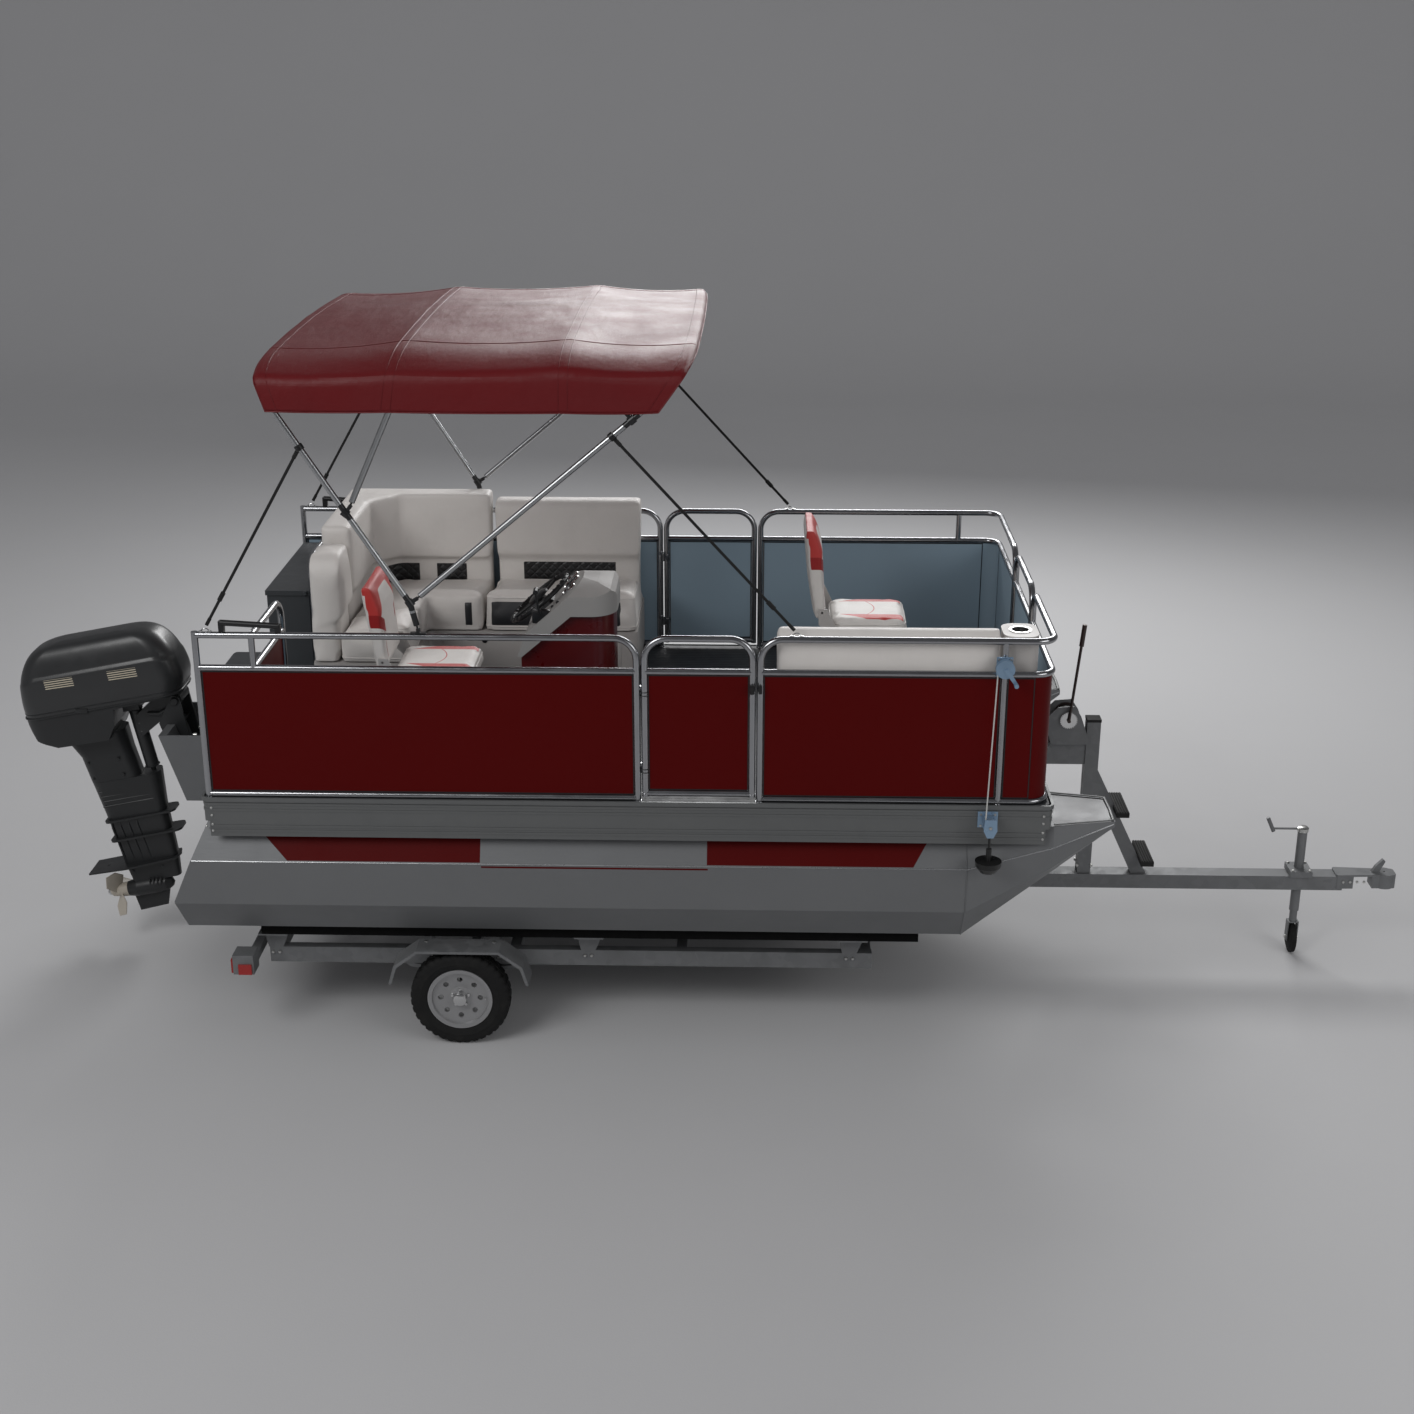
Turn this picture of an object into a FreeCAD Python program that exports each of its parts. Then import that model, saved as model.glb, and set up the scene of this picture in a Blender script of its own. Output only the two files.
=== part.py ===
import FreeCAD, Part
import math
import os

# Pontoon boat on its trailer. Model space: X forward from the deck's aft edge,
# Y to port from the centreline, Z up from the deck. Millimetres.
V = FreeCAD.Vector

# Main sizes
deck_length = 4270.0
deck_half = 1240.0
ride_height = 1429.0
box_shift_x = -2573.0
box_shift_y = 40.0
rail_inset = 15.5
rail_y = deck_half - rail_inset
skin = 0.3

# Fence
rail_r = 17.0
cross_r = 16.4
top_rail_z = 863.5
mid_rail_z = 693.0
bow_inset = 20.0
bow_x = deck_length - bow_inset
stern_post_x = 20.0
bow_corner_r = 90.0
drop_bend_r = 112.0
gate_aft_x = 2197.0
gate_fwd_x = 2809.0
gate_gap = 5.0
anchor_post_setback = 244.0
anchor_post_x = bow_x - anchor_post_setback
bow_gate_half = 385.0
cross_fence_x = 300.0
cross_starboard_y = -610.0
cross_port_y = 130.0
panel_thick = 4.0
gate_floor_gap = 28.0

# Deck and skirt
deck_thick = 22.0
skirt_reach = 10.0
skirt_half = deck_half + skirt_reach
skirt_wall = 4.0
skirt_bottom = -207.0
beam_bottom = -125.0
beam_width = 60.0
beam_wall = 4.0
beam_count = 11

# Pontoons
pontoon_inset = 255.0
pontoon_y = deck_half - pontoon_inset
pontoon_bottom = -795.0
pontoon_lead = 350.0
pontoon_tip_x = deck_length + pontoon_lead
stern_top_x = -4.0
stern_chine_x = -213.0
stern_low_x = -196.0

# Trailer
bunk_height = 80.0
bunk_width = 110.0
frame_top = -1000.0
frame_bottom = -1090.0
frame_inset = 80.0
frame_y = pontoon_y - frame_inset
frame_aft_x = 180.0
frame_setback = 1200.0
frame_fore_x = pontoon_tip_x - frame_setback
tongue_top = -930.0
tongue_bottom = -1015.0
tongue_half = 52.0
wheel_x = 1239.0
wheel_r = 265.0
wheel_z = -ride_height + wheel_r
wheel_reach = 299.0
tyre_outer_y = frame_y + wheel_reach
tyre_width = 124.0
rim_r = 172.0
tongue_reach = 1844.0
coupler_tip_x = pontoon_tip_x + tongue_reach
jack_setback = 549.0
jack_x = coupler_tip_x - jack_setback
jack_wheel_r = 90.0
jack_tube_r = 27.0

# Bimini
bow_r = 15.0
hinge_x = 1128.0
hinge_z = 897.0
knuckle_x = 1095.0
knuckle_z = 1036.0

# Outboard
tilt_x = -470.0
tilt_z = 95.0
trim = 11.0
steer_u = -270.0
prop_v = -1110.0
prop_shaft_r = 8.0


def block(x0, x1, y0, y1, z0, z1):
    return Part.makeBox(x1 - x0, y1 - y0, z1 - z0, V(x0, y0, z0))


def rod(start, end, radius):
    a = V(*start)
    along = V(*end) - a
    return Part.makeCylinder(radius, along.Length, a, along)


def bent_path(points, bends):
    edges = []
    start = V(*points[0])
    for i, bend in enumerate(bends):
        corner = V(*points[i + 1])
        into = (corner - V(*points[i])).normalize()
        out = (V(*points[i + 2]) - corner).normalize()
        half = into.getAngle(out) / 2
        cut = bend * math.tan(half)
        inward = (out - into).normalize() * (bend / math.cos(half) - bend)
        a = corner - into * cut
        b = corner + out * cut
        edges.append(Part.makeLine(start, a))
        edges.append(Part.Arc(a, corner + inward, b).toShape())
        start = b
    edges.append(Part.makeLine(start, V(*points[-1])))
    return Part.Wire(edges)


def tube(points, radius, bends):
    path = bent_path(points, bends)
    along = V(*points[1]) - V(*points[0])
    ring = Part.Wire(Part.makeCircle(radius, V(*points[0]), along))
    return path.makePipeShell([ring], True, False)


def wall(points, bends, thick, z0, z1):
    path = bent_path([(x, y, z0) for x, y in points], bends)
    a, b = V(*points[0], z0), V(*points[1], z0)
    side = (b - a).cross(V(0, 0, 1)).normalize() * (thick / 2)
    rise = V(0, 0, z1 - z0)
    outline = Part.makePolygon([a - side, a + side, a + side + rise, a - side + rise, a - side])
    return path.makePipeShell([outline], True, False)


def outline(points, radius=0.0):
    if radius == 0.0:
        return Part.Face(Part.makePolygon(points + [points[0]]))
    edges = []
    count = len(points)
    ends = []
    for i in range(count):
        corner = points[i]
        into = (corner - points[i - 1]).normalize()
        out = (points[(i + 1) % count] - corner).normalize()
        half = into.getAngle(out) / 2
        cut = radius * math.tan(half)
        inward = (out - into).normalize() * (radius / math.cos(half) - radius)
        ends.append((corner - into * cut, corner + inward, corner + out * cut))
    for i in range(count):
        edges.append(Part.makeLine(ends[i - 1][2], ends[i][0]))
        edges.append(Part.Arc(*ends[i]).toShape())
    return Part.Face(Part.Wire(edges))


def side_prism(points, y0, y1, radius=0.0):
    face = outline([V(x, y0, z) for x, z in points], radius)
    return face.extrude(V(0, y1 - y0, 0))


def plan_prism(points, z0, z1, radius=0.0):
    face = outline([V(x, y, z0) for x, y in points], radius)
    return face.extrude(V(0, 0, z1 - z0))


def end_prism(points, x0, x1, radius=0.0):
    face = outline([V(x0, y, z) for y, z in points], radius)
    return face.extrude(V(x1 - x0, 0, 0))


def plan_ring(x0, x1, half, radius, wall_thick, z0, z1):
    outer = [(x0, -half), (x1, -half), (x1, half), (x0, half)]
    inset = half - wall_thick
    inner = [(x0 + wall_thick, -inset), (x1 - wall_thick, -inset),
             (x1 - wall_thick, inset), (x0 + wall_thick, inset)]
    hole = plan_prism(inner, z0 - 1, z1 + 1, radius - wall_thick)
    return plan_prism(outer, z0, z1, radius).cut(hole)


def turned(points, axis_point, axis):
    base = V(*axis_point)
    direction = V(*axis).normalize()
    side = V(1, 0, 0) if abs(direction.x) < 0.5 else V(0, 0, 1)
    side = (side - direction * side.dot(direction)).normalize()
    corners = [base + direction * along + side * r for r, along in points]
    face = Part.Face(Part.makePolygon(corners + [corners[0]]))
    return face.revolve(base, direction, 360)


def mirrored(shape):
    return shape.mirror(V(0, 0, 0), V(0, 1, 0))


def fused(shapes):
    return shapes[0].fuse(shapes[1:]).removeSplitter() if len(shapes) > 1 else shapes[0]


def softened(shape, radius, pick):
    edges = [edge for edge in shape.Edges if pick(edge)]
    return shape.makeFillet(radius, edges)


def upright(edge):
    a, b = edge.Vertexes[0].Point, edge.Vertexes[-1].Point
    return abs(a.z - b.z) > 1 and abs(a.x - b.x) < 0.01 and abs(a.y - b.y) < 0.01


def cushion(x0, x1, y0, y1, z0, z1, radius=45.0):
    return softened(block(x0, x1, y0, y1, z0, z1), radius, upright)


def export(name, shapes):
    shape = shapes[0] if len(shapes) == 1 else Part.makeCompound(shapes)
    shape = shape.copy()
    shape.translate(V(box_shift_x, box_shift_y, ride_height))
    shape.exportStep("parts/" + name + ".step")


# Hull
def pontoon():
    def section(x, ridge, low, bottom, halves):
        ring = list(zip(halves, (beam_bottom, ridge, low, bottom)))
        ring += [(-h, z) for h, z in reversed(ring)]
        corners = [V(x, -pontoon_y + y, z) for y, z in ring]
        return Part.makePolygon(corners + [corners[0]])
    full = (150, 265, 250, 110)
    stations = [
        section(stern_chine_x - 40, -350, -600, pontoon_bottom, full),
        section(pontoon_tip_x - 750, -350, -600, pontoon_bottom, full),
        section(pontoon_tip_x - 320, -235, -360, -448, (225, 245, 215, 105)),
        section(pontoon_tip_x, -140, -158, -172, (150, 152, 148, 120))]
    roof, keel = beam_bottom + 1, pontoon_bottom - 1
    raked = side_prism([(stern_top_x, roof), (stern_chine_x, -590), (stern_low_x, keel),
                        (pontoon_tip_x + 1, keel), (pontoon_tip_x + 1, roof)],
                       -pontoon_y - 300, -pontoon_y + 300)
    return Part.makeLoft(stations, True, True).common(raked)


def deck_frame():
    beams = []
    pitch = (deck_length - 120.0) / (beam_count - 1)
    for i in range(beam_count):
        x = 60.0 + i * pitch
        beam = block(x - beam_width / 2, x + beam_width / 2, -deck_half + 10, deck_half - 10,
                     beam_bottom, -deck_thick)
        hollow = block(x - beam_width / 2 + beam_wall, x + beam_width / 2 - beam_wall,
                       -deck_half, deck_half, beam_bottom, -deck_thick - beam_wall)
        foot = [block(x - beam_width / 2 - 22, x + beam_width / 2 + 22, s * pontoon_y - 140,
                      s * pontoon_y + 140, beam_bottom, beam_bottom + beam_wall) for s in (-1, 1)]
        beams.append(fused([beam.cut(hollow)] + foot))
    return beams + [transom_pod()]


pod_half = 275.0
pod_top = -45.0
wall_run = 0.32
transom_top_x = -524.0
transom_thick = 44.0


def transom_x(z):
    return transom_top_x + wall_run * (pod_top - z)


def transom_pod():
    front = -14.0 - 3.0 - skin
    shell = side_prism([(transom_x(pod_top), pod_top), (front, pod_top), (front, -215),
                        (520, -215), (60, -433), (transom_x(-433), -433)], -pod_half, pod_half)
    well = side_prism([(transom_x(pod_top) + transom_thick, pod_top + 1), (front - 40, pod_top + 1),
                       (front - 40, -150), (transom_x(-240) + transom_thick, -240)],
                      -pod_half + 12, pod_half - 12)
    return shell.cut(well)


def deck_skirt():
    x0, x1 = -14.0, deck_length + 12.0
    parts = [plan_ring(x0, x1, skirt_half, 32, skirt_wall, skirt_bottom, 0)]
    for z in (-30, -62, -150, -176):
        parts.append(plan_ring(x0 - 3, x1 + 3, skirt_half + 3, 35, 3.5, z - 6, z + 6))
    parts.append(plan_ring(x0 - 8, x1 + 8, skirt_half + 8, 40, 13, -16, 6))
    notches = [block(x - 30, x + 30, s * pontoon_y - 272, s * pontoon_y + 255,
                     skirt_bottom - 1, beam_bottom + skin) for x in (x0, x1) for s in (-1, 1)]
    return fused(parts).cut(notches)


# Fence
def rail_levels():
    return (mid_rail_z, rail_r + skin)


post_pitch = 2 * rail_r + gate_gap
hinge_offset = post_pitch / 2
hinge_heights = (150.0, 560.0)
knuckle_height = 34.0
leaf_height = 16.0
barrel_r = 7.0


def placed(shape, x, y, turn, flip=False):
    result = shape.copy()
    if flip:
        result = result.mirror(V(0, 0, 0), V(0, 1, 0))
    result.rotate(V(0, 0, 0), V(0, 0, 1), turn)
    result.translate(V(x, y, 0))
    return result


def hinge_half(x_far, z, height):
    x0, x1 = sorted([x_far, -hinge_offset])
    arm = block(x0, x1, rail_r - 6, rail_r + 7, z, z + height)
    barrel = Part.makeCylinder(barrel_r, height, V(-hinge_offset, rail_r + 5, z))
    return arm.fuse(barrel)


def hinge_leaves(x, y, turn):
    return [placed(hinge_half(-post_pitch - 8, z + knuckle_height + skin, leaf_height), x, y, turn)
            for z in hinge_heights]


def aft_section():
    top = tube([(stern_post_x, -rail_y, top_rail_z), (gate_aft_x, -rail_y, top_rail_z),
                (gate_aft_x, -rail_y, skin)], rail_r, [drop_bend_r])
    x = stern_post_x
    parts = [top, rod((x, -rail_y, skin), (x, -rail_y, top_rail_z + rail_r), cross_r + 0.3)]
    for z in rail_levels():
        parts.append(rod((stern_post_x, -rail_y, z), (gate_aft_x, -rail_y, z), cross_r))
    x = cross_fence_x
    parts.append(rod((x, -rail_y, mid_rail_z), (x, -rail_y, top_rail_z), cross_r - 0.5))
    parts += hinge_leaves(gate_aft_x + post_pitch, -rail_y, 0)
    return parts


def forward_section(full_post):
    top = tube([(gate_fwd_x, -rail_y, skin), (gate_fwd_x, -rail_y, top_rail_z),
                (bow_x, -rail_y, top_rail_z), (bow_x, -bow_gate_half, top_rail_z),
                (bow_x, -bow_gate_half, skin)], rail_r, [drop_bend_r, bow_corner_r, drop_bend_r])
    parts = [top]
    for z in rail_levels():
        parts.append(tube([(gate_fwd_x, -rail_y, z), (bow_x, -rail_y, z), (bow_x, -bow_gate_half, z)],
                          cross_r, [bow_corner_r]))
    foot = skin if full_post else mid_rail_z
    parts.append(rod((anchor_post_x, -rail_y, foot), (anchor_post_x, -rail_y, top_rail_z), cross_r - 0.5))
    parts.append(block(gate_fwd_x - 9, gate_fwd_x + 9, -rail_y - rail_r - 9, -rail_y - rail_r + 5, 590, 630))
    if full_post:
        parts += hinge_leaves(bow_x, -bow_gate_half + post_pitch, 90)
    return fused(parts)


def cross_wing(y_free, side):
    y_fence = side * rail_y
    top = tube([(cross_fence_x, y_fence, top_rail_z), (cross_fence_x, y_free, top_rail_z),
                (cross_fence_x, y_free, skin)], rail_r, [drop_bend_r])
    parts = [top]
    for z in rail_levels():
        parts.append(rod((cross_fence_x, y_fence, z), (cross_fence_x, y_free, z), cross_r - 0.5))
    return parts


def fence_rails_starboard():
    return [fused(aft_section() + cross_wing(cross_starboard_y, -1)), forward_section(True)]


def fence_rails_port():
    aft = [mirrored(shape) for shape in aft_section()]
    return [fused(aft + cross_wing(cross_port_y, 1)), mirrored(forward_section(False))]


panel_edge = rail_r + skin
panel_foot = rail_r + skin + panel_edge
panel_head = mid_rail_z - panel_edge


def flat_panel(x0, x1):
    return block(x0 + panel_edge, x1 - panel_edge, -rail_y - panel_thick / 2,
                 -rail_y + panel_thick / 2, panel_foot, panel_head)


def bow_panel(x0):
    plan = [(x0 + panel_edge, -rail_y), (bow_x, -rail_y), (bow_x, -bow_gate_half - panel_edge)]
    return wall(plan, [bow_corner_r], panel_thick, panel_foot, panel_head)


def wing_panel(y_free, side):
    y0, y1 = sorted([y_free + side * panel_edge, side * (rail_y - panel_edge)])
    return block(cross_fence_x - panel_thick / 2, cross_fence_x + panel_thick / 2, y0, y1,
                 panel_foot, panel_head)


def fence_panels_starboard():
    return [flat_panel(stern_post_x, gate_aft_x), flat_panel(gate_fwd_x, anchor_post_x),
            bow_panel(anchor_post_x), wing_panel(cross_starboard_y, -1)]


def fence_panels_port():
    return [mirrored(flat_panel(stern_post_x, gate_aft_x)), mirrored(bow_panel(gate_fwd_x)),
            wing_panel(cross_port_y, 1)]


# Gates, drawn along X at Y = 0 with the hinge post first
def gate_frame(width):
    top = tube([(0, 0, gate_floor_gap), (0, 0, top_rail_z), (width, 0, top_rail_z),
                (width, 0, gate_floor_gap)], rail_r, [drop_bend_r, drop_bend_r])
    parts = [top]
    for z in (mid_rail_z, gate_floor_gap + rail_r):
        parts.append(rod((0, 0, z), (width, 0, z), cross_r))
    parts.append(block(width - 12, width + 8, -30, -12, 590, 630))
    parts += [hinge_half(10, z, knuckle_height) for z in hinge_heights]
    return fused(parts)


def gate_panel(width):
    foot = gate_floor_gap + 2 * rail_r + skin
    return block(panel_edge, width - panel_edge, -panel_thick / 2, panel_thick / 2, foot, panel_head)


def gates():
    side_width = gate_fwd_x - gate_aft_x - 2 * post_pitch
    bow_width = 2 * (bow_gate_half - post_pitch)
    spots = {
        "gate_starboard": (side_width, gate_aft_x + post_pitch, -rail_y, 0, False),
        "gate_port": (side_width, gate_aft_x + post_pitch, rail_y, 0, True),
        "gate_bow": (bow_width, bow_x, -bow_gate_half + post_pitch, 90, False)}
    for name, (width, x, y, turn, flip) in spots.items():
        export(name + "_frame", [placed(gate_frame(width), x, y, turn, flip)])
        export(name + "_panel", [placed(gate_panel(width), x, y, turn, flip)])


# Furniture
locker_port_y = rail_y - 59.5
locker_top = 640.0
lid_thick = 28.0
lid_barrel_r = 6.0
small_box_top = 580.0


def stern_boxes():
    body = block(30, 268, 170, locker_port_y, skin, locker_top)
    hollow = block(42, 256, 182, locker_port_y - 12, 40, locker_top + 1)
    small = softened(block(30, 272, 144.5 - rail_y, cross_starboard_y - 40, skin, small_box_top), 40,
                     lambda e: abs(e.CenterOfMass.z - small_box_top) < 1 and e.CenterOfMass.x < 31)
    return [fused([body.cut(hollow)] + lid_hinges(110.3, 150.0, locker_top - 6, locker_top - 1)), small]


def lid_hinges(near, far, z0, z1):
    axis_y = locker_port_y + lid_barrel_r + skin
    parts = []
    for x0, x1 in ((near, far), (298 - far, 298 - near)):
        parts.append(rod((x0, axis_y, locker_top), (x1, axis_y, locker_top), lid_barrel_r))
        parts.append(block(x0, x1, locker_port_y - 10, axis_y, z0, z1))
    return parts


def stern_lid():
    lid = block(24, 274, 158, locker_port_y, locker_top + skin, locker_top + lid_thick)
    knob = turned([(0, 0), (14, 0), (14, 10), (9, 16), (0, 16)], (250, 158, locker_top + 15), (0, -1, 0))
    return fused([lid, knob] + lid_hinges(60.0, 110.0, locker_top + 1, locker_top + 6))


lounge_x0 = 330.0
lounge_x1 = 2098.0
lounge_split_x = 1205.0
lounge_y1 = rail_y - 29.5
lounge_front_y = 490.0
aft_leg_x1 = 880.0
aft_leg_y0 = -110.0
seat_base_top = 330.0
bench_x0 = bow_x - 1370.0
bench_x1 = bow_x - 250.0
bench_wall_y = 44.5 - rail_y
bench_front_y = -640.0
end_cap_top = 872.0


def seat_bases():
    lounge = plan_prism([(lounge_x0, aft_leg_y0), (aft_leg_x1, aft_leg_y0), (aft_leg_x1, lounge_front_y),
                         (lounge_x1, lounge_front_y), (lounge_x1, lounge_y1), (lounge_x0, lounge_y1)],
                        60, seat_base_top, 30)
    kick = plan_prism([(lounge_x0 + 40, aft_leg_y0 + 50), (aft_leg_x1 - 50, aft_leg_y0 + 50),
                       (aft_leg_x1 - 50, lounge_front_y + 50), (lounge_x1 - 50, lounge_front_y + 50),
                       (lounge_x1 - 50, lounge_y1 - 40), (lounge_x0 + 40, lounge_y1 - 40)], skin, 61)
    bench = softened(block(bench_x0, bench_x1, bench_wall_y, bench_front_y, 60, seat_base_top), 30, upright)
    bench_kick = block(bench_x0 + 50, bench_x1 - 10, bench_wall_y + 30, bench_front_y - 50, skin, 61)
    end_cap = softened(block(bench_x1 + 3, bow_x - 70, bench_wall_y, bench_wall_y + 220, 60, end_cap_top),
                       60, upright)
    end_kick = block(bench_x1 + 20, bow_x - 110, bench_wall_y + 30, bench_wall_y + 190, skin, 61)
    well = Part.makeCylinder(cup_r + 0.3, 96, V(cup_x, cup_y, end_cap_top - 90))
    return [fused([lounge, kick]), fused([bench, bench_kick]), fused([end_cap, end_kick]).cut(well)]


cup_x = bench_x1 + 92.0
cup_y = bench_wall_y + 112.0
cup_r = 46.0


def cup_holder():
    lip = cup_r + 10
    bore = cup_r - 2.5
    return turned([(0, -88), (cup_r, -88), (cup_r, skin), (lip, skin), (lip, 4), (bore, 4), (bore, -86),
                   (0, -86)], (cup_x, cup_y, end_cap_top), (0, 0, 1))


def lounge_cushions():
    top = 545.0
    low = seat_base_top + skin
    back = lounge_y1 - 150
    main = cushion(lounge_split_x + 2, lounge_x1, lounge_front_y - 10, back, low, top, 40)
    corner = plan_prism([(lounge_x0 + 150, 260), (aft_leg_x1, 260), (aft_leg_x1, lounge_front_y - 10),
                         (lounge_split_x - 2, lounge_front_y - 10), (lounge_split_x - 2, back),
                         (lounge_x0 + 310, back), (lounge_x0 + 150, back - 160)], low, top, 25)
    aft = cushion(lounge_x0 + 150, aft_leg_x1, aft_leg_y0, 256, low, top, 40)
    return [main, corner, aft]


roll_out = 34.0
roll_z = 610.0


def corner_back(depth, z0, z1):
    y1 = lounge_y1
    return plan_prism([(lounge_x0, 262), (lounge_x0 + depth, 262), (lounge_x0 + depth, y1 - depth - 154),
                       (lounge_x0 + depth + 154, y1 - depth), (lounge_split_x - 2, y1 - depth),
                       (lounge_split_x - 2, y1), (lounge_x0, y1)], z0, z1, 30)


def lounge_backrests():
    low = seat_base_top + skin
    depth = 146.0
    y1 = lounge_y1
    front = y1 - depth
    side = [(front, low), (y1, low), (y1, 955), (y1 - 36, 990), (front + 8, 990), (front - roll_out, 945),
            (front - roll_out, roll_z + 48), (front, roll_z)]
    main = end_prism(side, lounge_split_x + 4, lounge_x1, 15)
    corner = fused([corner_back(depth, low, roll_z + 20), corner_back(depth + roll_out, roll_z + 20, 1030)])
    aft = fused([cushion(lounge_x0, lounge_x0 + depth, aft_leg_y0, 258, low, roll_z, 35),
                 cushion(lounge_x0, lounge_x0 + depth + roll_out, aft_leg_y0 - 6, 258, roll_z, 940, 60)])
    return [main, corner, aft]


def bench_cushion():
    return cushion(bench_x0, bench_x1 - 2, bench_wall_y + 135, bench_front_y + 10, seat_base_top + skin,
                   seat_base_top + 200, 40)


def bench_backrest():
    rear = bench_wall_y - 15
    face = [(rear, seat_base_top + skin), (rear + 145, seat_base_top + skin), (rear + 133, 880),
            (rear + 95, 912), (rear + 45, 912), (rear, 870)]
    return end_prism(face, bench_x0 - 5, bench_x1 - 2, 18)


helm_fore = 2044.0
helm_side = 195.0
helm_y = -465.0
crown_r = 470.0


def helm_console():
    body = side_prism([(1640, skin), (helm_fore, skin), (helm_fore, 800), (1826, 800), (1560, 572),
                       (1560, 500), (1640, 420)], helm_y - helm_side, helm_y + helm_side, 25)
    plan = plan_prism([(1300, helm_y - helm_side), (helm_fore, helm_y - helm_side),
                       (helm_fore, helm_y + helm_side), (1300, helm_y + helm_side)], 0, 900, 110)
    return body.common(plan)


def helm_dash():
    half = helm_side + 34
    fore = helm_fore + 18
    cap = side_prism([(1545, 586), (1560, 574), (1826, 801), (fore, 801), (fore, 880), (fore - 8, 910),
                      (fore - 32, 934), (fore - 102, 953), (fore - 182, 962), (1589, 707)],
                     helm_y - half, helm_y + half)
    plan = plan_prism([(1300, helm_y - half), (fore, helm_y - half), (fore, helm_y + half),
                       (1300, helm_y + half)], 500, 1000, 140)
    crown = Part.makeCylinder(crown_r, 700, V(1450, helm_y, 964 - crown_r), V(1, 0, 0))
    return cap.common(plan).common(crown)


wheel_rim_r = 185.0
wheel_at = (1640.0, -424.0, 820.0)
wheel_lean = 39.0


def helm_wheel():
    lean = math.radians(wheel_lean)
    axis = (-math.sin(lean), 0, math.cos(lean))
    side = V(math.cos(lean), 0, math.sin(lean))
    centre = V(*wheel_at)
    rim = Part.makeTorus(wheel_rim_r, 13, centre, V(*axis))
    parts = [rim, Part.makeCylinder(32, 34, centre - V(*axis) * 20, V(*axis))]
    for k in range(3):
        direction = V(side)
        spun = FreeCAD.Rotation(V(*axis), 60 + 120 * k).multVec(direction)
        parts.append(rod(tuple(centre), tuple(centre + spun * wheel_rim_r), 8))
    return fused(parts)


def helm_shaft():
    lean = math.radians(wheel_lean)
    axis = V(-math.sin(lean), 0, math.cos(lean))
    foot = V(*wheel_at) - axis * 95
    return rod(tuple(foot), tuple(V(*wheel_at) - axis * 20.3), 16)


bow_seat_x = bow_x - 850.0
seat_spots = {"driver": (1078.0, -424.0, 400.0, 410.0), "bow": (bow_seat_x, 276.0, 470.0, 470.0)}


def seat_pedestals():
    pedestals = []
    for x, y, top, rise in seat_spots.values():
        pedestals.append(turned([(0, skin), (150, skin), (150, 12), (60, 34), (30, 60), (30, top - 61.3),
                                 (0, top - 61.3)], (x, y, 0), (0, 0, 1)))
    return pedestals


def seat_cushion(x, y, top, rise):
    pan = block(x - 170, x + 170, y - 160, y + 160, top - 26, top)
    post = turned([(0, -61), (24, -61), (24, -26), (0, -26)], (x, y, top), (0, 0, 1))
    pad = cushion(x - 215, x + 235, y - 225, y + 225, top, top + 85, 70)
    arms = [side_prism([(x - 175, top - 26), (x - 140, top - 26), (x - 222, top + 150), (x - 272, top + 150),
                        (x - 268, top + 60)], y + s * 232 - 4, y + s * 232 + 4) for s in (-1, 1)]
    arms += [rod((x + back_hinge[0], y + s * 230, top + back_hinge[1]),
                 (x + back_hinge[0], y + s * 206, top + back_hinge[1]), 6) for s in (-1, 1)]
    bridges = [block(x - 175, x - 120, y + min(s * 236, s * 150), y + max(s * 236, s * 150),
                     top - 26, top - 6) for s in (-1, 1)]
    return fused([pan, post, pad] + arms + bridges)


back_hinge = (-250.0, 130.0)


def seat_back(x, y, top, rise):
    hx, hz = x + back_hinge[0], top + back_hinge[1]
    face = [(hx - 38, hz - 60), (hx + 24, hz - 60), (hx + 12, hz + 60), (hx - 6, hz + rise - 130),
            (hx - 50, hz + rise), (hx - 105, hz + rise), (hx - 80, hz + 200)]
    back = side_prism(face, y - 222, y + 222, 15)
    return back.cut(rod((hx, y - 230, hz), (hx, y + 230, hz), 6.05))


# Anchor gear on the starboard bow
davit_x = anchor_post_x - 44.0
anchor_y = -skirt_half - 80.0
pulley_z = -74.0
pulley_r = 20.0


def anchor_gear():
    post_face = -rail_y - rail_r - skin
    plate = block(anchor_post_x - 45, anchor_post_x + 35, post_face - 8, post_face, 690, 790)
    boss = rod((anchor_post_x - 4, post_face - 7, 738), (anchor_post_x - 4, post_face - 44, 738), 9)
    davit_face = -skirt_half - 3 - skin
    base = block(davit_x - 55, davit_x + 45, davit_face - 8, davit_face, -110, -26)
    cheeks = [side_prism([(davit_x - 30, -30), (davit_x + 30, -30), (davit_x + 34, -90), (davit_x + 16, -128),
                          (davit_x - 16, -128), (davit_x - 34, -90)], anchor_y + s * 24 - 3,
                         anchor_y + s * 24 + 3) for s in (-1, 1)]
    spine = block(davit_x - 14, davit_x + 14, anchor_y - 26, davit_face - 4, -46, -34)
    pulley = rod((davit_x, anchor_y - 22, pulley_z), (davit_x, anchor_y + 22, pulley_z), pulley_r)
    return [fused([plate, boss]), fused([base] + cheeks + [spine, pulley])]


def anchor_winch_drum():
    face = -rail_y - rail_r - skin
    drum = turned([(9.05, 15), (46, 15), (46, 19), (30, 22), (30, 42), (46, 45), (46, 50), (12, 56), (0, 56),
                   (0, 46), (9.05, 46)], (anchor_post_x - 4, face, 738), (0, -1, 0))
    arm = side_prism([(anchor_post_x - 16, 740), (anchor_post_x + 8, 748), (anchor_post_x + 56, 672),
                      (anchor_post_x + 44, 660)], face - 62, face - 55)
    knob = rod((anchor_post_x + 48, face - 60, 667), (anchor_post_x + 48, face - 88, 667), 11)
    return fused([drum, arm, knob])


rope_r = 3.5


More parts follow.
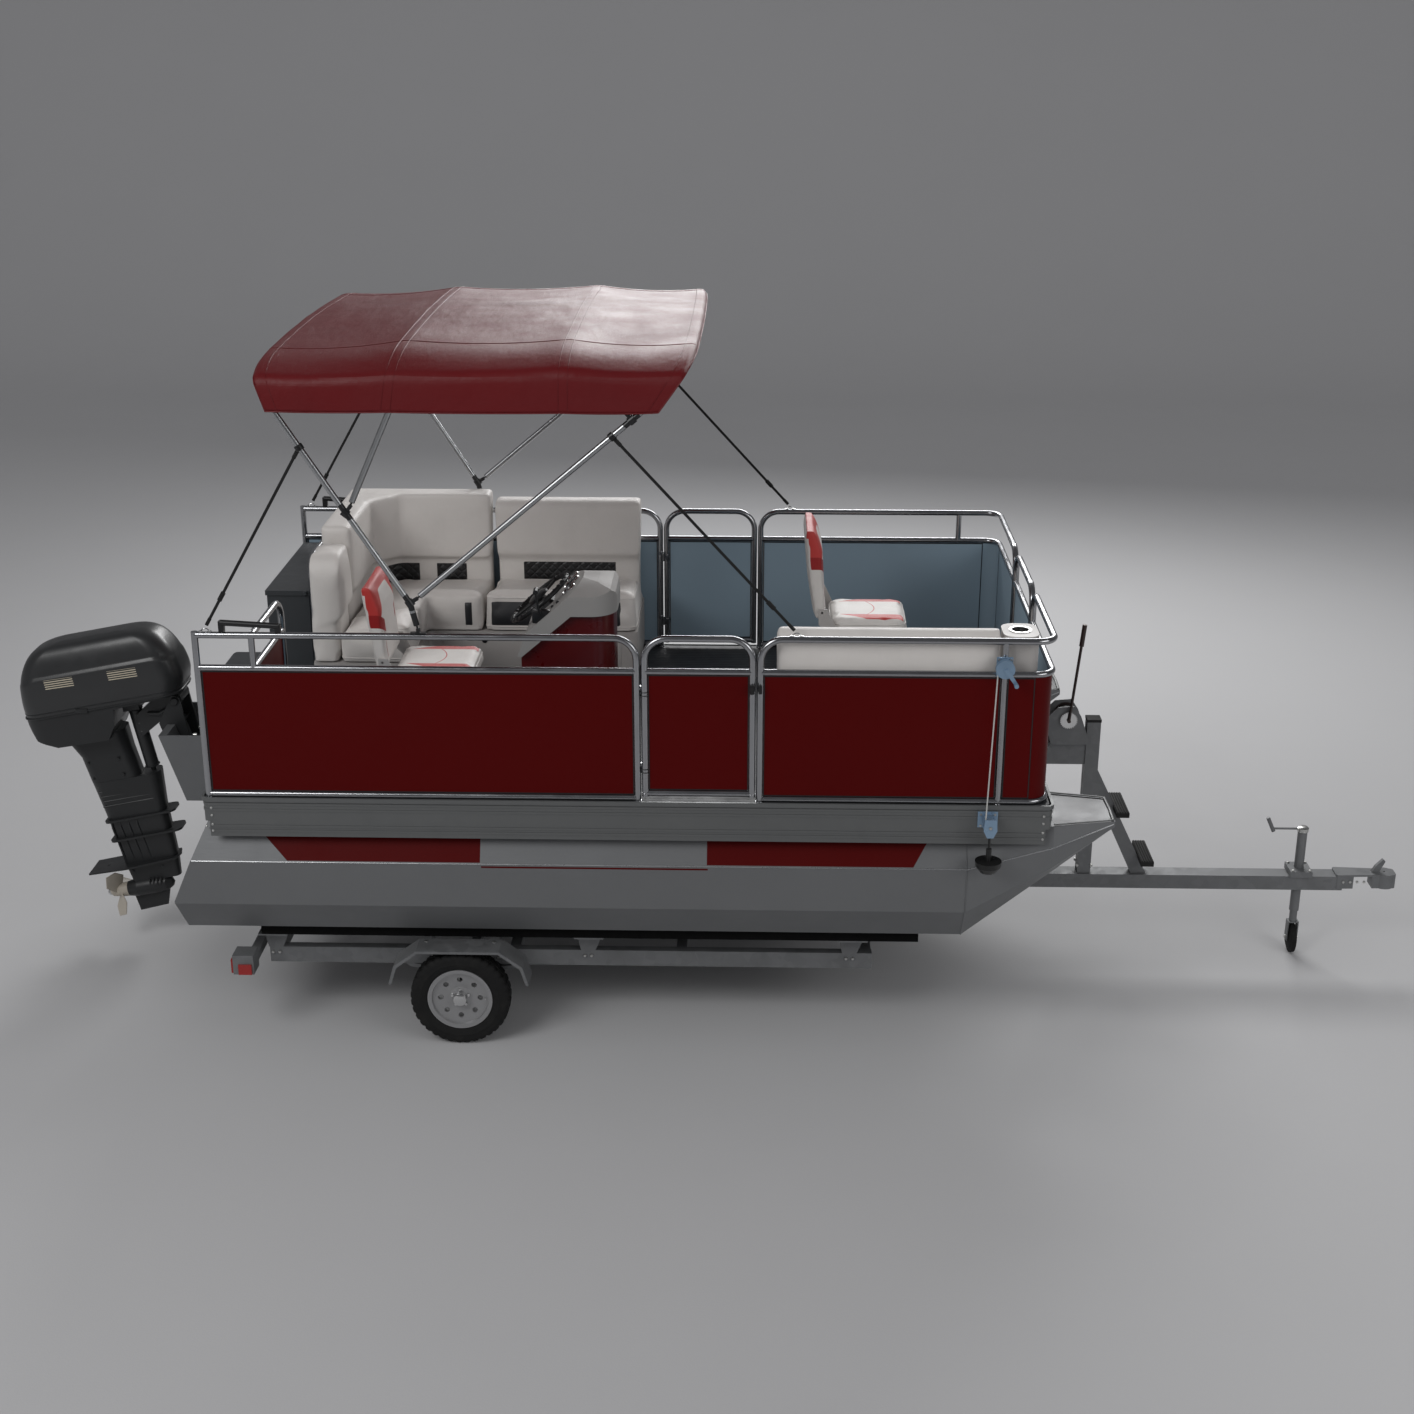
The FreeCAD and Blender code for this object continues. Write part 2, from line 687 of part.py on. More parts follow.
def anchor_rope():
    face = -rail_y - rail_r - skin
    return rod((anchor_post_x - 38, face - 32, 728), (davit_x - pulley_r - 4, anchor_y, pulley_z), rope_r)


def mushroom_anchor():
    eye = pulley_z - pulley_r - skin
    return turned([(0, -330), (40, -322), (64, -290), (67, -262), (60, -262), (14, -262), (14, -196),
                   (6, -190),
                   (6, eye), (0, eye)], (davit_x, anchor_y, 0), (0, 0, 1))


# Bimini
canopy_lift = bow_r + 5.3


def leg_point(start, end, run):
    along = V(end[0] - start[0], 0, end[1] - start[1]).normalize()
    return (start[0] + along.x * run, start[1] + along.z * run)


front_pivot = (1125.4, 1055.3)
front_corner = (2400.0, 2120.0)
second_run = 1390.0
pivot_offset = 36.0


def second_jaw():
    at = leg_point(front_pivot, front_corner, second_run)
    ahead = leg_point(front_pivot, front_corner, second_run + pivot_offset)
    return at, (at[0] - (ahead[1] - at[1]), at[1] + (ahead[0] - at[0]))


bows = {
    "main": {"foot": (hinge_x, hinge_z), "corner": (430.0, 2085.0), "top": (425.0, 2190.0)},
    "mid": {"foot": (830.6, 1516.0), "corner": (1100.0, 2100.0), "top": (1075.0, 2235.0)},
    "second": {"foot": second_jaw()[1], "corner": (1868.0, 2150.0), "top": (1875.0, 2245.0)},
    "front": {"foot": front_pivot, "corner": front_corner, "top": (2465.0, 2225.0)}}
top_half = 900.0
ear_gap = 5.15
ear_thick = 4.0
pin_r = 4.0
pin_play = 0.05


def bow_shape(name, lead=()):
    bow = bows[name]
    foot = (bow["foot"][0], bow["foot"][1])
    nxt = lead[0] if lead else bow["corner"]
    start = leg_point(foot, nxt, 26.0)
    legs = [start] + list(lead) + [bow["corner"]]
    points = [(x, -rail_y, z) for x, z in legs]
    top = bow["top"]
    points += [(top[0], -top_half, top[1]), (top[0], top_half, top[1])]
    points += [(x, rail_y, z) for x, z in reversed(legs)]
    bends = [60.0] * len(lead) + [130.0, 420.0, 420.0, 130.0] + [60.0] * len(lead)
    parts = [tube(points, bow_r, bends)]
    for s in (-1, 1):
        eye = Part.makeCylinder(10, 2 * (ear_gap - 0.15), V(foot[0], s * rail_y - ear_gap + 0.15, foot[1]),
                                V(0, 1, 0))
        tongue = rod((foot[0], s * rail_y, foot[1]), (start[0], s * rail_y, start[1]), 4.9)
        bore = Part.makeCylinder(pin_r + pin_play, 40, V(foot[0], s * rail_y - 20, foot[1]), V(0, 1, 0))
        parts.append(fused([eye, tongue]).cut(bore))
    return parts


def jaw(at, pivot):
    ears = []
    axis = V(pivot[0] - at[0], 0, pivot[1] - at[1]).normalize()
    for s in (-1, 1):
        sleeve = Part.makeCylinder(bow_r + 6, 34, V(at[0], s * rail_y, at[1]) - V(-axis.z, 0, axis.x) * 17,
                                   V(-axis.z, 0, axis.x))
        pin = Part.makeCylinder(pin_r, 2 * (ear_gap + ear_thick),
                                V(pivot[0], s * rail_y - ear_gap - ear_thick, pivot[1]), V(0, 1, 0))
        pieces = [sleeve, pin]
        for side in (-1, 1):
            y0 = s * rail_y + (ear_gap if side > 0 else -ear_gap - ear_thick)
            a = V(at[0], y0, at[1])
            across = V(-axis.z, 0, axis.x) * 9
            out = V(pivot[0], y0, pivot[1]) + axis * 10
            corners = [a - across, a + across, out + across, out - across, a - across]
            pieces.append(Part.Face(Part.makePolygon(corners)).extrude(V(0, ear_thick, 0)))
        ears.append(fused(pieces))
    return ears


def bimini_main_bow():
    lead = [(knuckle_x, knuckle_z)]
    parts = bow_shape("main", lead)
    parts += jaw((knuckle_x, knuckle_z), bows["front"]["foot"])
    parts += jaw((807.0, 1486.0), bows["mid"]["foot"])
    return fused(parts)


def bimini_front_bow():
    return fused(bow_shape("front") + jaw(*second_jaw()))


def bimini_mounts():
    parts = []
    saddle_z = top_rail_z + rail_r + skin
    for s in (-1, 1):
        base = block(hinge_x - 38, hinge_x + 38, s * rail_y - 13, s * rail_y + 13, saddle_z, saddle_z + 5)
        pieces = [base, Part.makeCylinder(pin_r, 2 * (ear_gap + ear_thick),
                                          V(hinge_x, s * rail_y - ear_gap - ear_thick, hinge_z), V(0, 1, 0))]
        for side in (-1, 1):
            y0 = s * rail_y + (ear_gap if side > 0 else -ear_gap - ear_thick)
            pieces.append(block(hinge_x - 9, hinge_x + 9, y0, y0 + ear_thick, saddle_z, hinge_z + 10))
        parts.append(fused(pieces))
        brace = rod((152, s * rail_y, 928), (442, s * rail_y, 912), bow_r)
        feet = [block(x - 14, x + 14, s * rail_y - 12, s * rail_y + 12, saddle_z, z)
                for x, z in ((158, 936), (436, 922))]
        parts.append(fused([brace] + feet))
    return parts


canopy_skirt_z = 1980.0
canopy_half = rail_y + bow_r + skin
cloth = 5.0


def bimini_canopy():
    ends = {
        "main": (462.0, 392.0), "mid": (1030.0, 1080.0),
        "second": (1868.0, 1875.0), "front": (2318.0, 2498.0)}
    rings = []
    for name, (x_hem, x_top) in ends.items():
        shoulder = bows[name]["corner"][1] + 30
        top = bows[name]["top"][1] + canopy_lift
        inner = [(canopy_half, canopy_skirt_z), (canopy_half, shoulder), (top_half + 30, top), (0.0, top + 8)]
        outer = [(canopy_half + cloth, canopy_skirt_z), (canopy_half + cloth, shoulder + 3),
                 (top_half + 32, top + cloth), (0.0, top + 8 + cloth)]
        half = outer + [(-y, z) for y, z in reversed(outer[:-1])]
        under = [(-y, z) for y, z in inner[:-1]] + [inner[-1]] + list(reversed(inner[:-1]))
        lean = (x_top - x_hem) / (top - canopy_skirt_z)
        corners = [V(x_hem + lean * (z - canopy_skirt_z), y, z) for y, z in half + under]
        rings.append(Part.makePolygon(corners + [corners[0]]))
    return Part.makeLoft(rings, True, True)


# Outboard, drawn upright about its tilt tube, then trimmed in
def trimmed(shape):
    result = shape.copy()
    result.rotate(V(0, 0, 0), V(0, 1, 0), -trim)
    result.translate(V(tilt_x, 0, tilt_z))
    return result


def level_ring(v, u0, u1, half, radius):
    return outline([V(u0, -half, v), V(u1, -half, v), V(u1, half, v), V(u0, half, v)], radius).OuterWire


def outboard_cowl():
    rings = [level_ring(56, -858, 58, 172, 110), level_ring(150, -852, 86, 180, 112),
             level_ring(270, -828, 70, 174, 108), level_ring(370, -770, 24, 156, 100),
             level_ring(425, -700, -40, 128, 90), level_ring(447, -600, -130, 80, 60)]
    return trimmed(Part.makeLoft(rings, True, True))


def outboard_leg():
    pan_side = side_prism([(-858, 55), (58, 55), (60, 47), (-190, 42), (-326, 34), (-350, -60),
                           (-404, -137), (-700, -130), (-810, -76)], -180, 180)
    pan_plan = plan_prism([(-860, -168), (60, -168), (60, 168), (-860, 168)], -200, 60, 108)
    pan = pan_side.common(pan_plan)
    upper = Part.makeLoft([level_ring(-120, -700, -345, 92, 70), level_ring(-250, -645, -345, 78, 60),
                           level_ring(-412, -632, -335, 72, 55)], True, True)
    lower = Part.makeLoft([level_ring(-410, -632, -225, 74, 60), level_ring(-620, -615, -255, 60, 50),
                           level_ring(-940, -600, -278, 44, 36), level_ring(-1070, -585, -300, 30, 24)],
                          True, True)
    rings = [plan_prism([(-622, -h), (u, -h * 0.8), (u, h * 0.8), (-622, h)], v - 6, v + 6, 36)
             for v, u, h in ((-655, -204, 84), (-775, -198, 86))]
    plate = plan_prism([(-797, -95), (-560, -110), (-280, -70), (-262, 0), (-280, 70), (-560, 110),
                        (-797, 95)], -950, -940, 0)
    torpedo = turned([(0, 0), (26, 14), (46, 46), (56, 110), (56, 220), (44, 278), (0, 278)],
                     (-350, 0, prop_v), (-1, 0, 0))
    skeg = side_prism([(-610, -1120), (-380, -1120), (-430, -1245), (-600, -1255)], -7, 7)
    yoke = block(-318, -225, -58, 58, -22, 40)
    shaft = Part.makeCylinder(15, 400, V(steer_u, 0, -415))
    prop_shaft = rod((-350 - 270, 0, prop_v), (-350 - 360, 0, prop_v), prop_shaft_r)
    parts = [pan, upper, lower, plate, torpedo, skeg, yoke, shaft, prop_shaft] + rings
    return trimmed(fused(parts))


def outboard_swivel():
    tube_part = Part.makeCylinder(38, 350, V(steer_u, 0, -380))
    hub = Part.makeCylinder(34, 150, V(0, -75, 0), V(0, 1, 0))
    web = side_prism([(-6, 28), (-150, 8), (-262, -60), (-262, -190), (-120, -112), (20, -26)], -40, 40)
    shape = fused([tube_part, hub, web])
    shape = shape.cut(Part.makeCylinder(15.06, 460, V(steer_u, 0, -420)))
    return trimmed(shape.cut(Part.makeCylinder(16.06, 200, V(0, -100, 0), V(0, 1, 0))))


def outboard_clamp():
    seat = pod_top + skin
    low_out = transom_x(-312) - skin
    fore_top = transom_x(pod_top) + transom_thick + skin
    fore_low = transom_x(-170) + transom_thick + skin
    plates = []
    for s in (-1, 1):
        face = [(tilt_x - 27, tilt_z + 13), (tilt_x + 27, tilt_z + 13), (-420, -30), (fore_low + 42, -165),
                (fore_low, -170), (fore_top, seat), (transom_x(pod_top) - skin, seat), (low_out, -312),
                (low_out - 42, -318), (-570, -40)]
        plates.append(side_prism(face, s * 88 - 8, s * 88 + 8))
        plates.append(rod((tilt_x, s * 88 - 8, tilt_z), (tilt_x, s * 88 + 8, tilt_z), 30))
    pin = rod((tilt_x, -96, tilt_z), (tilt_x, 96, tilt_z), 16)
    bridge = block(-512, -440, -88, 88, seat, seat + 14)
    return fused(plates + [pin, bridge])


def propeller():
    bore = prop_shaft_r + 0.05
    hub = turned([(bore, 278.4), (44, 278.4), (40, 330), (30, 378), (16, 392), (0, 392), (0, 361),
                  (bore, 361)], (-350, 0, prop_v), (-1, 0, 0))
    parts = [hub]
    for k in range(3):
        blade = level_ring(24, -36, 36, 3.5, 3)
        mid = level_ring(85, -62, 62, 3.2, 3)
        tip = level_ring(150, -30, 30, 2.2, 2)
        turned_rings = []
        for wire, pitch in ((blade, 62), (mid, 42), (tip, 28)):
            ring = wire.copy()
            ring.rotate(V(0, 0, 0), V(0, 0, 1), pitch)
            turned_rings.append(ring)
        solid = Part.makeLoft(turned_rings, True, True)
        solid.rotate(V(0, 0, 0), V(1, 0, 0), 120 * k + 30)
        solid.translate(V(-350 - 334, 0, prop_v))
        parts.append(solid)
    return trimmed(fused(parts))


# Trailer
bunk_y = pontoon_y - 7.0
lamp_y = frame_y + 155.0
lamp_width = 110.0


def trailer_frame():
    parts = []
    for s in (-1, 1):
        parts.append(block(frame_aft_x, frame_fore_x, s * frame_y - 26, s * frame_y + 26,
                           frame_bottom, frame_top))
        for x in (frame_aft_x + 35, 1900.0, frame_fore_x - 120):
            face = [(x - 38, frame_top - 2), (x + 38, frame_top - 2), (x + 90, pontoon_bottom - bunk_height),
                    (x - 66, pontoon_bottom - bunk_height)]
            parts.append(side_prism(face, s * (frame_y + 23) - 5, s * (frame_y + 23) + 5))
            parts.append(block(x - 66, x + 90, s * bunk_y - bunk_width / 2, s * bunk_y + bunk_width / 2,
                               pontoon_bottom - bunk_height - 8, pontoon_bottom - bunk_height))
    for x in (frame_aft_x + 25, 1500.0, 2400.0, frame_fore_x - 30):
        parts.append(block(x - 28, x + 28, -frame_y, frame_y, frame_bottom, frame_bottom + 76))
    tongue = block(1472, coupler_tip_x - 304, -tongue_half, tongue_half, tongue_bottom, tongue_top)
    parts.append(tongue.cut(Part.makeCylinder(jack_tube_r + skin, 200, V(jack_x, 0, tongue_bottom - 50))))
    parts.append(block(76, 124, -lamp_y - 20, lamp_y + 20, -1062, -1012))
    for s in (-1, 1):
        parts.append(block(76, 205, s * 700 - 22, s * 700 + 22, -1062, -1016))
        y0, y1 = sorted([s * lamp_y, s * (lamp_y + lamp_width)])
        parts.append(block(40, 150, y0, y1, -1045, -935))
    return fused(parts)


def tail_lamp_lenses():
    lenses = []
    for s in (-1, 1):
        y0, y1 = sorted([s * (lamp_y + 16), s * (lamp_y + lamp_width - 8)])
        lenses.append(block(28, 40 - skin, y0, y1, -1040, -962))
        y2, y3 = sorted([s * (lamp_y + lamp_width + skin), s * (lamp_y + lamp_width + 10)])
        lenses.append(block(70, 140, y2, y3, -1042, -985))
    return lenses


def trailer_bunks():
    return [block(frame_aft_x - 10, frame_fore_x + 235, s * bunk_y - bunk_width / 2,
                  s * bunk_y + bunk_width / 2, pontoon_bottom - bunk_height, pontoon_bottom) for s in (-1, 1)]


def trailer_axle():
    beam_end = tyre_outer_y - 164
    axle = block(wheel_x - 25, wheel_x + 25, -beam_end, beam_end, wheel_z - 25, wheel_z + 25)
    parts = [axle]
    for s in (-1, 1):
        stub_in, stub_out = s * (beam_end - 10), s * (tyre_outer_y - 39)
        parts.append(rod((wheel_x, stub_in, wheel_z), (wheel_x, stub_out, wheel_z), 17))
        leaf = side_prism([(wheel_x - 330, frame_bottom - skin), (wheel_x - 300, frame_bottom - skin),
                           (wheel_x - 60, wheel_z + 36), (wheel_x + 60, wheel_z + 36),
                           (wheel_x + 300, frame_bottom - skin), (wheel_x + 330, frame_bottom - skin),
                           (wheel_x + 300, frame_bottom - 24), (wheel_x + 70, wheel_z + 20),
                           (wheel_x - 70, wheel_z + 20), (wheel_x - 300, frame_bottom - 24)],
                          s * frame_y - 22, s * frame_y + 22)
        parts.append(leaf)
    return fused(parts)


fender_in_y = tyre_outer_y - 138.0
fender_out_y = tyre_outer_y + 14.0


def arch(half):
    aft = [(wheel_x - x, wheel_z + z) for x, z in half]
    return aft + [(wheel_x + x, wheel_z + z) for x, z in reversed(half)]


def trailer_fenders():
    outer = arch([(371, 97), (339, 204), (219, 292)])
    inner = arch([(365, 97), (334, 200), (217, 288)])
    low = arch([(355, 97), (325, 192), (213, 278)])
    fenders = []
    for s in (-1, 1):
        y0, y1 = sorted([s * fender_in_y, s * fender_out_y])
        skin_part = side_prism(outer + list(reversed(inner)), y0, y1)
        f0, f1 = sorted([s * (fender_out_y - 4), s * fender_out_y])
        lip = side_prism(outer + list(reversed(low)), f0, f1)
        stays = []
        for x in (wheel_x - 179, wheel_x + 179):
            a0, a1 = sorted([s * (frame_y + 26 + skin), s * (fender_in_y + 4)])
            stays.append(block(x - 20, x + 20, a0, a1, wheel_z + 280, wheel_z + 288.5))
            b0, b1 = sorted([s * (frame_y + 26 + skin), s * (frame_y + 34)])
            stays.append(block(x - 20, x + 20, b0, b1, frame_bottom + 10, wheel_z + 286))
        fenders.append(fused([skin_part, lip] + stays))
    return fenders


def rim():
    mid = tyre_outer_y - tyre_width / 2
    shell = turned([(150, -50), (rim_r, -52), (rim_r, -48), (158, -40), (158, 40), (rim_r, 48), (rim_r, 52),
                    (150, 50), (146, 34), (60, 22), (34, 28), (34, 58), (0, 58), (0, 40), (17.05, 40),
                    (17.05, -46), (34, -46), (34, 8), (60, 4), (150, 14)],
                   (wheel_x, -mid, wheel_z), (0, -1, 0))
    slots = []
    for k in range(8):
        slot = Part.makeCylinder(15, 120, V(wheel_x + 105, -mid + 60, wheel_z), V(0, -1, 0))
        slot.rotate(V(wheel_x, 0, wheel_z), V(0, 1, 0), 45 * k)
        slots.append(slot)
    return shell.cut(slots)


def tyre():
    mid = tyre_outer_y - tyre_width / 2
    half = tyre_width / 2
    return turned([(rim_r + skin, -48), (rim_r + skin, 48), (226, half), (wheel_r, half - 20),
                   (wheel_r, -half + 20), (226, -half)], (wheel_x, -mid, wheel_z), (0, -1, 0))


stand_x = pontoon_tip_x + 60.0
reel_x = stand_x - 150.0
reel_z = 20.0
reel_pin_r = 10.0


def stand_leg():
    return side_prism([(stand_x + 270, tongue_top), (stand_x + 355, tongue_top), (stand_x + 38, -290),
                       (stand_x + 38, -440)], -32, 32)


def winch_stand():
    post = block(stand_x - 38, stand_x + 38, -38, 38, tongue_top, -4)
    arm = block(stand_x - 280, stand_x, -30, 30, -259, -127)
    leg = stand_leg()
    sides = [side_prism([(reel_x - 90, -127), (reel_x + 130, -127), (reel_x + 70, reel_z + 20),
                         (reel_x + 30, reel_z + 80), (reel_x - 60, reel_z + 72), (reel_x - 130, reel_z)],
                        s * 60 - 3, s * 60 + 3) for s in (-1, 1)]
    bore = rod((reel_x, -100, reel_z), (reel_x, 100, reel_z), reel_pin_r + 0.05)
    sides = [side.cut(bore) for side in sides]
    floor = block(reel_x - 90, reel_x + 110, -62, 62, -130, -122)
    roller = rod((stand_x - 285, -120, -150), (stand_x - 285, 120, -150), 40)
    stock = block(stand_x - 285, stand_x - 260, -30, 30, -200, -140)
    return fused([post, arm, leg] + sides + [floor, roller, stock])


def stand_treads():
    treads = [block(x, x + 72, -150, 150, z - 14, z + 14).cut(stand_leg())
              for x, z in ((stand_x + 142, -520), (stand_x + 302, -820))]
    cap = block(stand_x - 40, stand_x + 40, -40, 40, -4 + skin, 12)
    return treads + [cap]


def winch_reel():
    drum = turned([(0, -56), (62, -56), (62, -50), (30, -50), (30, 50), (62, 50), (62, 56), (0, 56)],
                  (reel_x, 0, reel_z), (0, 1, 0))
    pivot = rod((reel_x, -92, reel_z), (reel_x, 70, reel_z), reel_pin_r)
    lever = rod((reel_x, -84, reel_z), (reel_x + 40, -84, reel_z + 440), 8)
    grip = rod((reel_x + 40, -84, reel_z + 440), (reel_x + 51, -84, reel_z + 564), 13)
    return fused([drum, pivot, lever, grip])


def trailer_jack():
    outer = Part.makeCylinder(jack_tube_r, 500, V(jack_x, 0, tongue_bottom - 150))
    outer = outer.cut(Part.makeCylinder(22, 480, V(jack_x, 0, tongue_bottom - 151)))
    top = tongue_bottom - 150 + 500
    clamp = block(jack_x - 62, jack_x + 62, -72, 72, tongue_top + skin, tongue_top + 36)
    clamp = clamp.cut(Part.makeCylinder(24, 100, V(jack_x, 0, tongue_top)))
    axle_z = -ride_height + jack_wheel_r
    crown = axle_z + jack_wheel_r + 8
    inner = Part.makeCylinder(22 - skin, top - 40 - crown, V(jack_x, 0, crown))
    plates = [block(jack_x + s * 28 - 3, jack_x + s * 28 + 3, -24, 24, axle_z - 18, crown + 8)
              for s in (-1, 1)]
    crown_plate = block(jack_x - 31, jack_x + 31, -24, 24, crown, crown + 8)
    axle = rod((jack_x - 34, 0, axle_z), (jack_x + 34, 0, axle_z), 8)
    crank = rod((jack_x, 0, top - 10), (jack_x, 0, top + 22), 10)
    arm = rod((jack_x, 0, top + 11), (jack_x - 170, 0, top + 11), 6)
    grip = rod((jack_x - 166, 0, top - 6), (jack_x - 205, 0, top + 78), 11)
    return [fused([outer, clamp, crank, arm, grip]), fused([inner, crown_plate, axle] + plates)]


def jack_wheel():
    axle_z = -ride_height + jack_wheel_r
    return turned([(8.05, -22), (30, -22), (62, -14), (66, -19), (jack_wheel_r, -11), (jack_wheel_r, 11),
                   (66, 19), (62, 14), (30, 22), (8.05, 22)], (jack_x, 0, axle_z), (1, 0, 0))


ball_r = 25.6
ball_x = coupler_tip_x - 59.0


def trailer_coupler():
    tip = coupler_tip_x
    body = plan_prism([(tip - 344, -58), (tip - 134, -46), (tip, -42), (tip, 42), (tip - 134, 46),
                       (tip - 344, 58)], -1003, -918, 14)
    hollow = block(tip - 354, tip - 134, -tongue_half - skin, tongue_half + skin, -1016, tongue_top + skin)
    body = body.cut(hollow)
    nose = Part.makeCylinder(58, 85, V(ball_x, 0, -1003))
    socket = Part.makeCylinder(ball_r, 60, V(ball_x, 0, -1003))
    socket = socket.fuse(Part.makeSphere(ball_r, V(ball_x, 0, -943)))
    latch = side_prism([(tip - 134, -918), (tip - 92, -918), (tip - 62, -850), (tip - 76, -838),
                        (tip - 114, -880)], -12, 12)
    return fused([body, nose, latch]).cut(socket)


nodes = {
    "pontoons": lambda: [pontoon(), mirrored(pontoon())],
    "deck_frame": deck_frame,
    "deck_floor": lambda: [cushion(0, deck_length, -deck_half, deck_half, -deck_thick, 0)],
    "deck_skirt": lambda: [deck_skirt()],
    "fence_rails_starboard": fence_rails_starboard,
    "fence_rails_port": fence_rails_port,
    "fence_panels_starboard": fence_panels_starboard,
    "fence_panels_port": fence_panels_port,
    "stern_boxes": stern_boxes,
    "stern_locker_lid": lambda: [stern_lid()],
    "seat_bases": seat_bases,
    "cup_holder": lambda: [cup_holder()],
    "lounge_cushions": lounge_cushions,
    "lounge_backrests": lounge_backrests,
    "bench_cushion": lambda: [bench_cushion()],
    "bench_backrest": lambda: [bench_backrest()],
    "helm_console": lambda: [helm_console()],
    "helm_dash": lambda: [fused([helm_dash(), helm_shaft()])],
    "helm_wheel": lambda: [helm_wheel()],
    "seat_pedestals": seat_pedestals,
    "driver_seat": lambda: [seat_cushion(*seat_spots["driver"])],
    "driver_seat_back": lambda: [seat_back(*seat_spots["driver"])],
    "bow_seat": lambda: [seat_cushion(*seat_spots["bow"])],
    "bow_seat_back": lambda: [seat_back(*seat_spots["bow"])],
    "anchor_gear": anchor_gear,
    "anchor_winch_drum": lambda: [anchor_winch_drum()],
    "anchor_rope": lambda: [anchor_rope()],
    "mushroom_anchor": lambda: [mushroom_anchor()],
    "bimini_mounts": bimini_mounts,
    "bimini_main_bow": lambda: [bimini_main_bow()],
    "bimini_mid_bow": lambda: [fused(bow_shape("mid"))],
    "bimini_second_bow": lambda: [fused(bow_shape("second"))],
    "bimini_front_bow": lambda: [bimini_front_bow()],
    "bimini_canopy": lambda: [bimini_canopy()],
    "outboard_clamp": lambda: [outboard_clamp()],
    "outboard_swivel": lambda: [outboard_swivel()],
    "outboard_leg": lambda: [outboard_leg()],
    "outboard_cowl": lambda: [outboard_cowl()],
    "propeller": lambda: [propeller()],
    "trailer_frame": lambda: [trailer_frame()],
    "trailer_bunks": trailer_bunks,
    "trailer_axle": lambda: [trailer_axle()],
    "trailer_fenders": trailer_fenders,
    "tail_lamp_lenses": tail_lamp_lenses,
    "wheel_rim_starboard": lambda: [rim()],
    "wheel_rim_port": lambda: [mirrored(rim())],
    "tyre_starboard": lambda: [tyre()],
    "tyre_port": lambda: [mirrored(tyre())],
    "winch_stand": lambda: [winch_stand()],
    "stand_treads": stand_treads,
    "winch_reel": lambda: [winch_reel()],
    "trailer_jack": trailer_jack,
    "jack_wheel": lambda: [jack_wheel()],
    "trailer_coupler": lambda: [trailer_coupler()]}

os.makedirs("parts", exist_ok=True)
for node, make in nodes.items():
    export(node, make())
gates()
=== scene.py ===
import bpy
import bmesh
import math
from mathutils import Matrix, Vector
from mathutils.bvhtree import BVHTree


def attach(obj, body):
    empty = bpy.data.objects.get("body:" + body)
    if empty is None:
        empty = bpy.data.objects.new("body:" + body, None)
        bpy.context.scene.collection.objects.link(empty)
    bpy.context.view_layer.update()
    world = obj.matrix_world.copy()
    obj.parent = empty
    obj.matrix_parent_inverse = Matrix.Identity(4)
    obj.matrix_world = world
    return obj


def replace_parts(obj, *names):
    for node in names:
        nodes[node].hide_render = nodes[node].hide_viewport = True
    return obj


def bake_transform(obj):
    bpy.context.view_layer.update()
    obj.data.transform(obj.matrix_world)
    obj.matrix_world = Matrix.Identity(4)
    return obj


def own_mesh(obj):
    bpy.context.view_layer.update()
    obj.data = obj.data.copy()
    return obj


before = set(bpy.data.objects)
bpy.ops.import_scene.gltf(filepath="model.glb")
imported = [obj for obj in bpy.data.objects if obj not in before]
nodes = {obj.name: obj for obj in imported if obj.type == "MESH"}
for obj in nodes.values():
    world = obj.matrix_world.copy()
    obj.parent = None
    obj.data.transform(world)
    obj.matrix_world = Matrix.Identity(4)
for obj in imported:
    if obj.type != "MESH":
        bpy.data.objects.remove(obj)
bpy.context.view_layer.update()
SHIFT = Vector((-2.573, 0.040, 1.429))
ROOT = "boat_on_trailer"
RAIL_Y = 1224.5
HULL_Y = 985
CHINE_Z = -350
BOW_X = 4250
HELM_Y = -424
REEL_X, REEL_Z = 4530, 20
JACK_X = 5915
WHEEL_X, WHEEL_Y, WHEEL_Z = 1239, 1142, -1164


def at(x, y, z):
    """A point given in deck millimetres: X from the deck's aft edge, Y to port, Z up from the deck."""
    return Vector((x / 1000, y / 1000, z / 1000)) + SHIFT


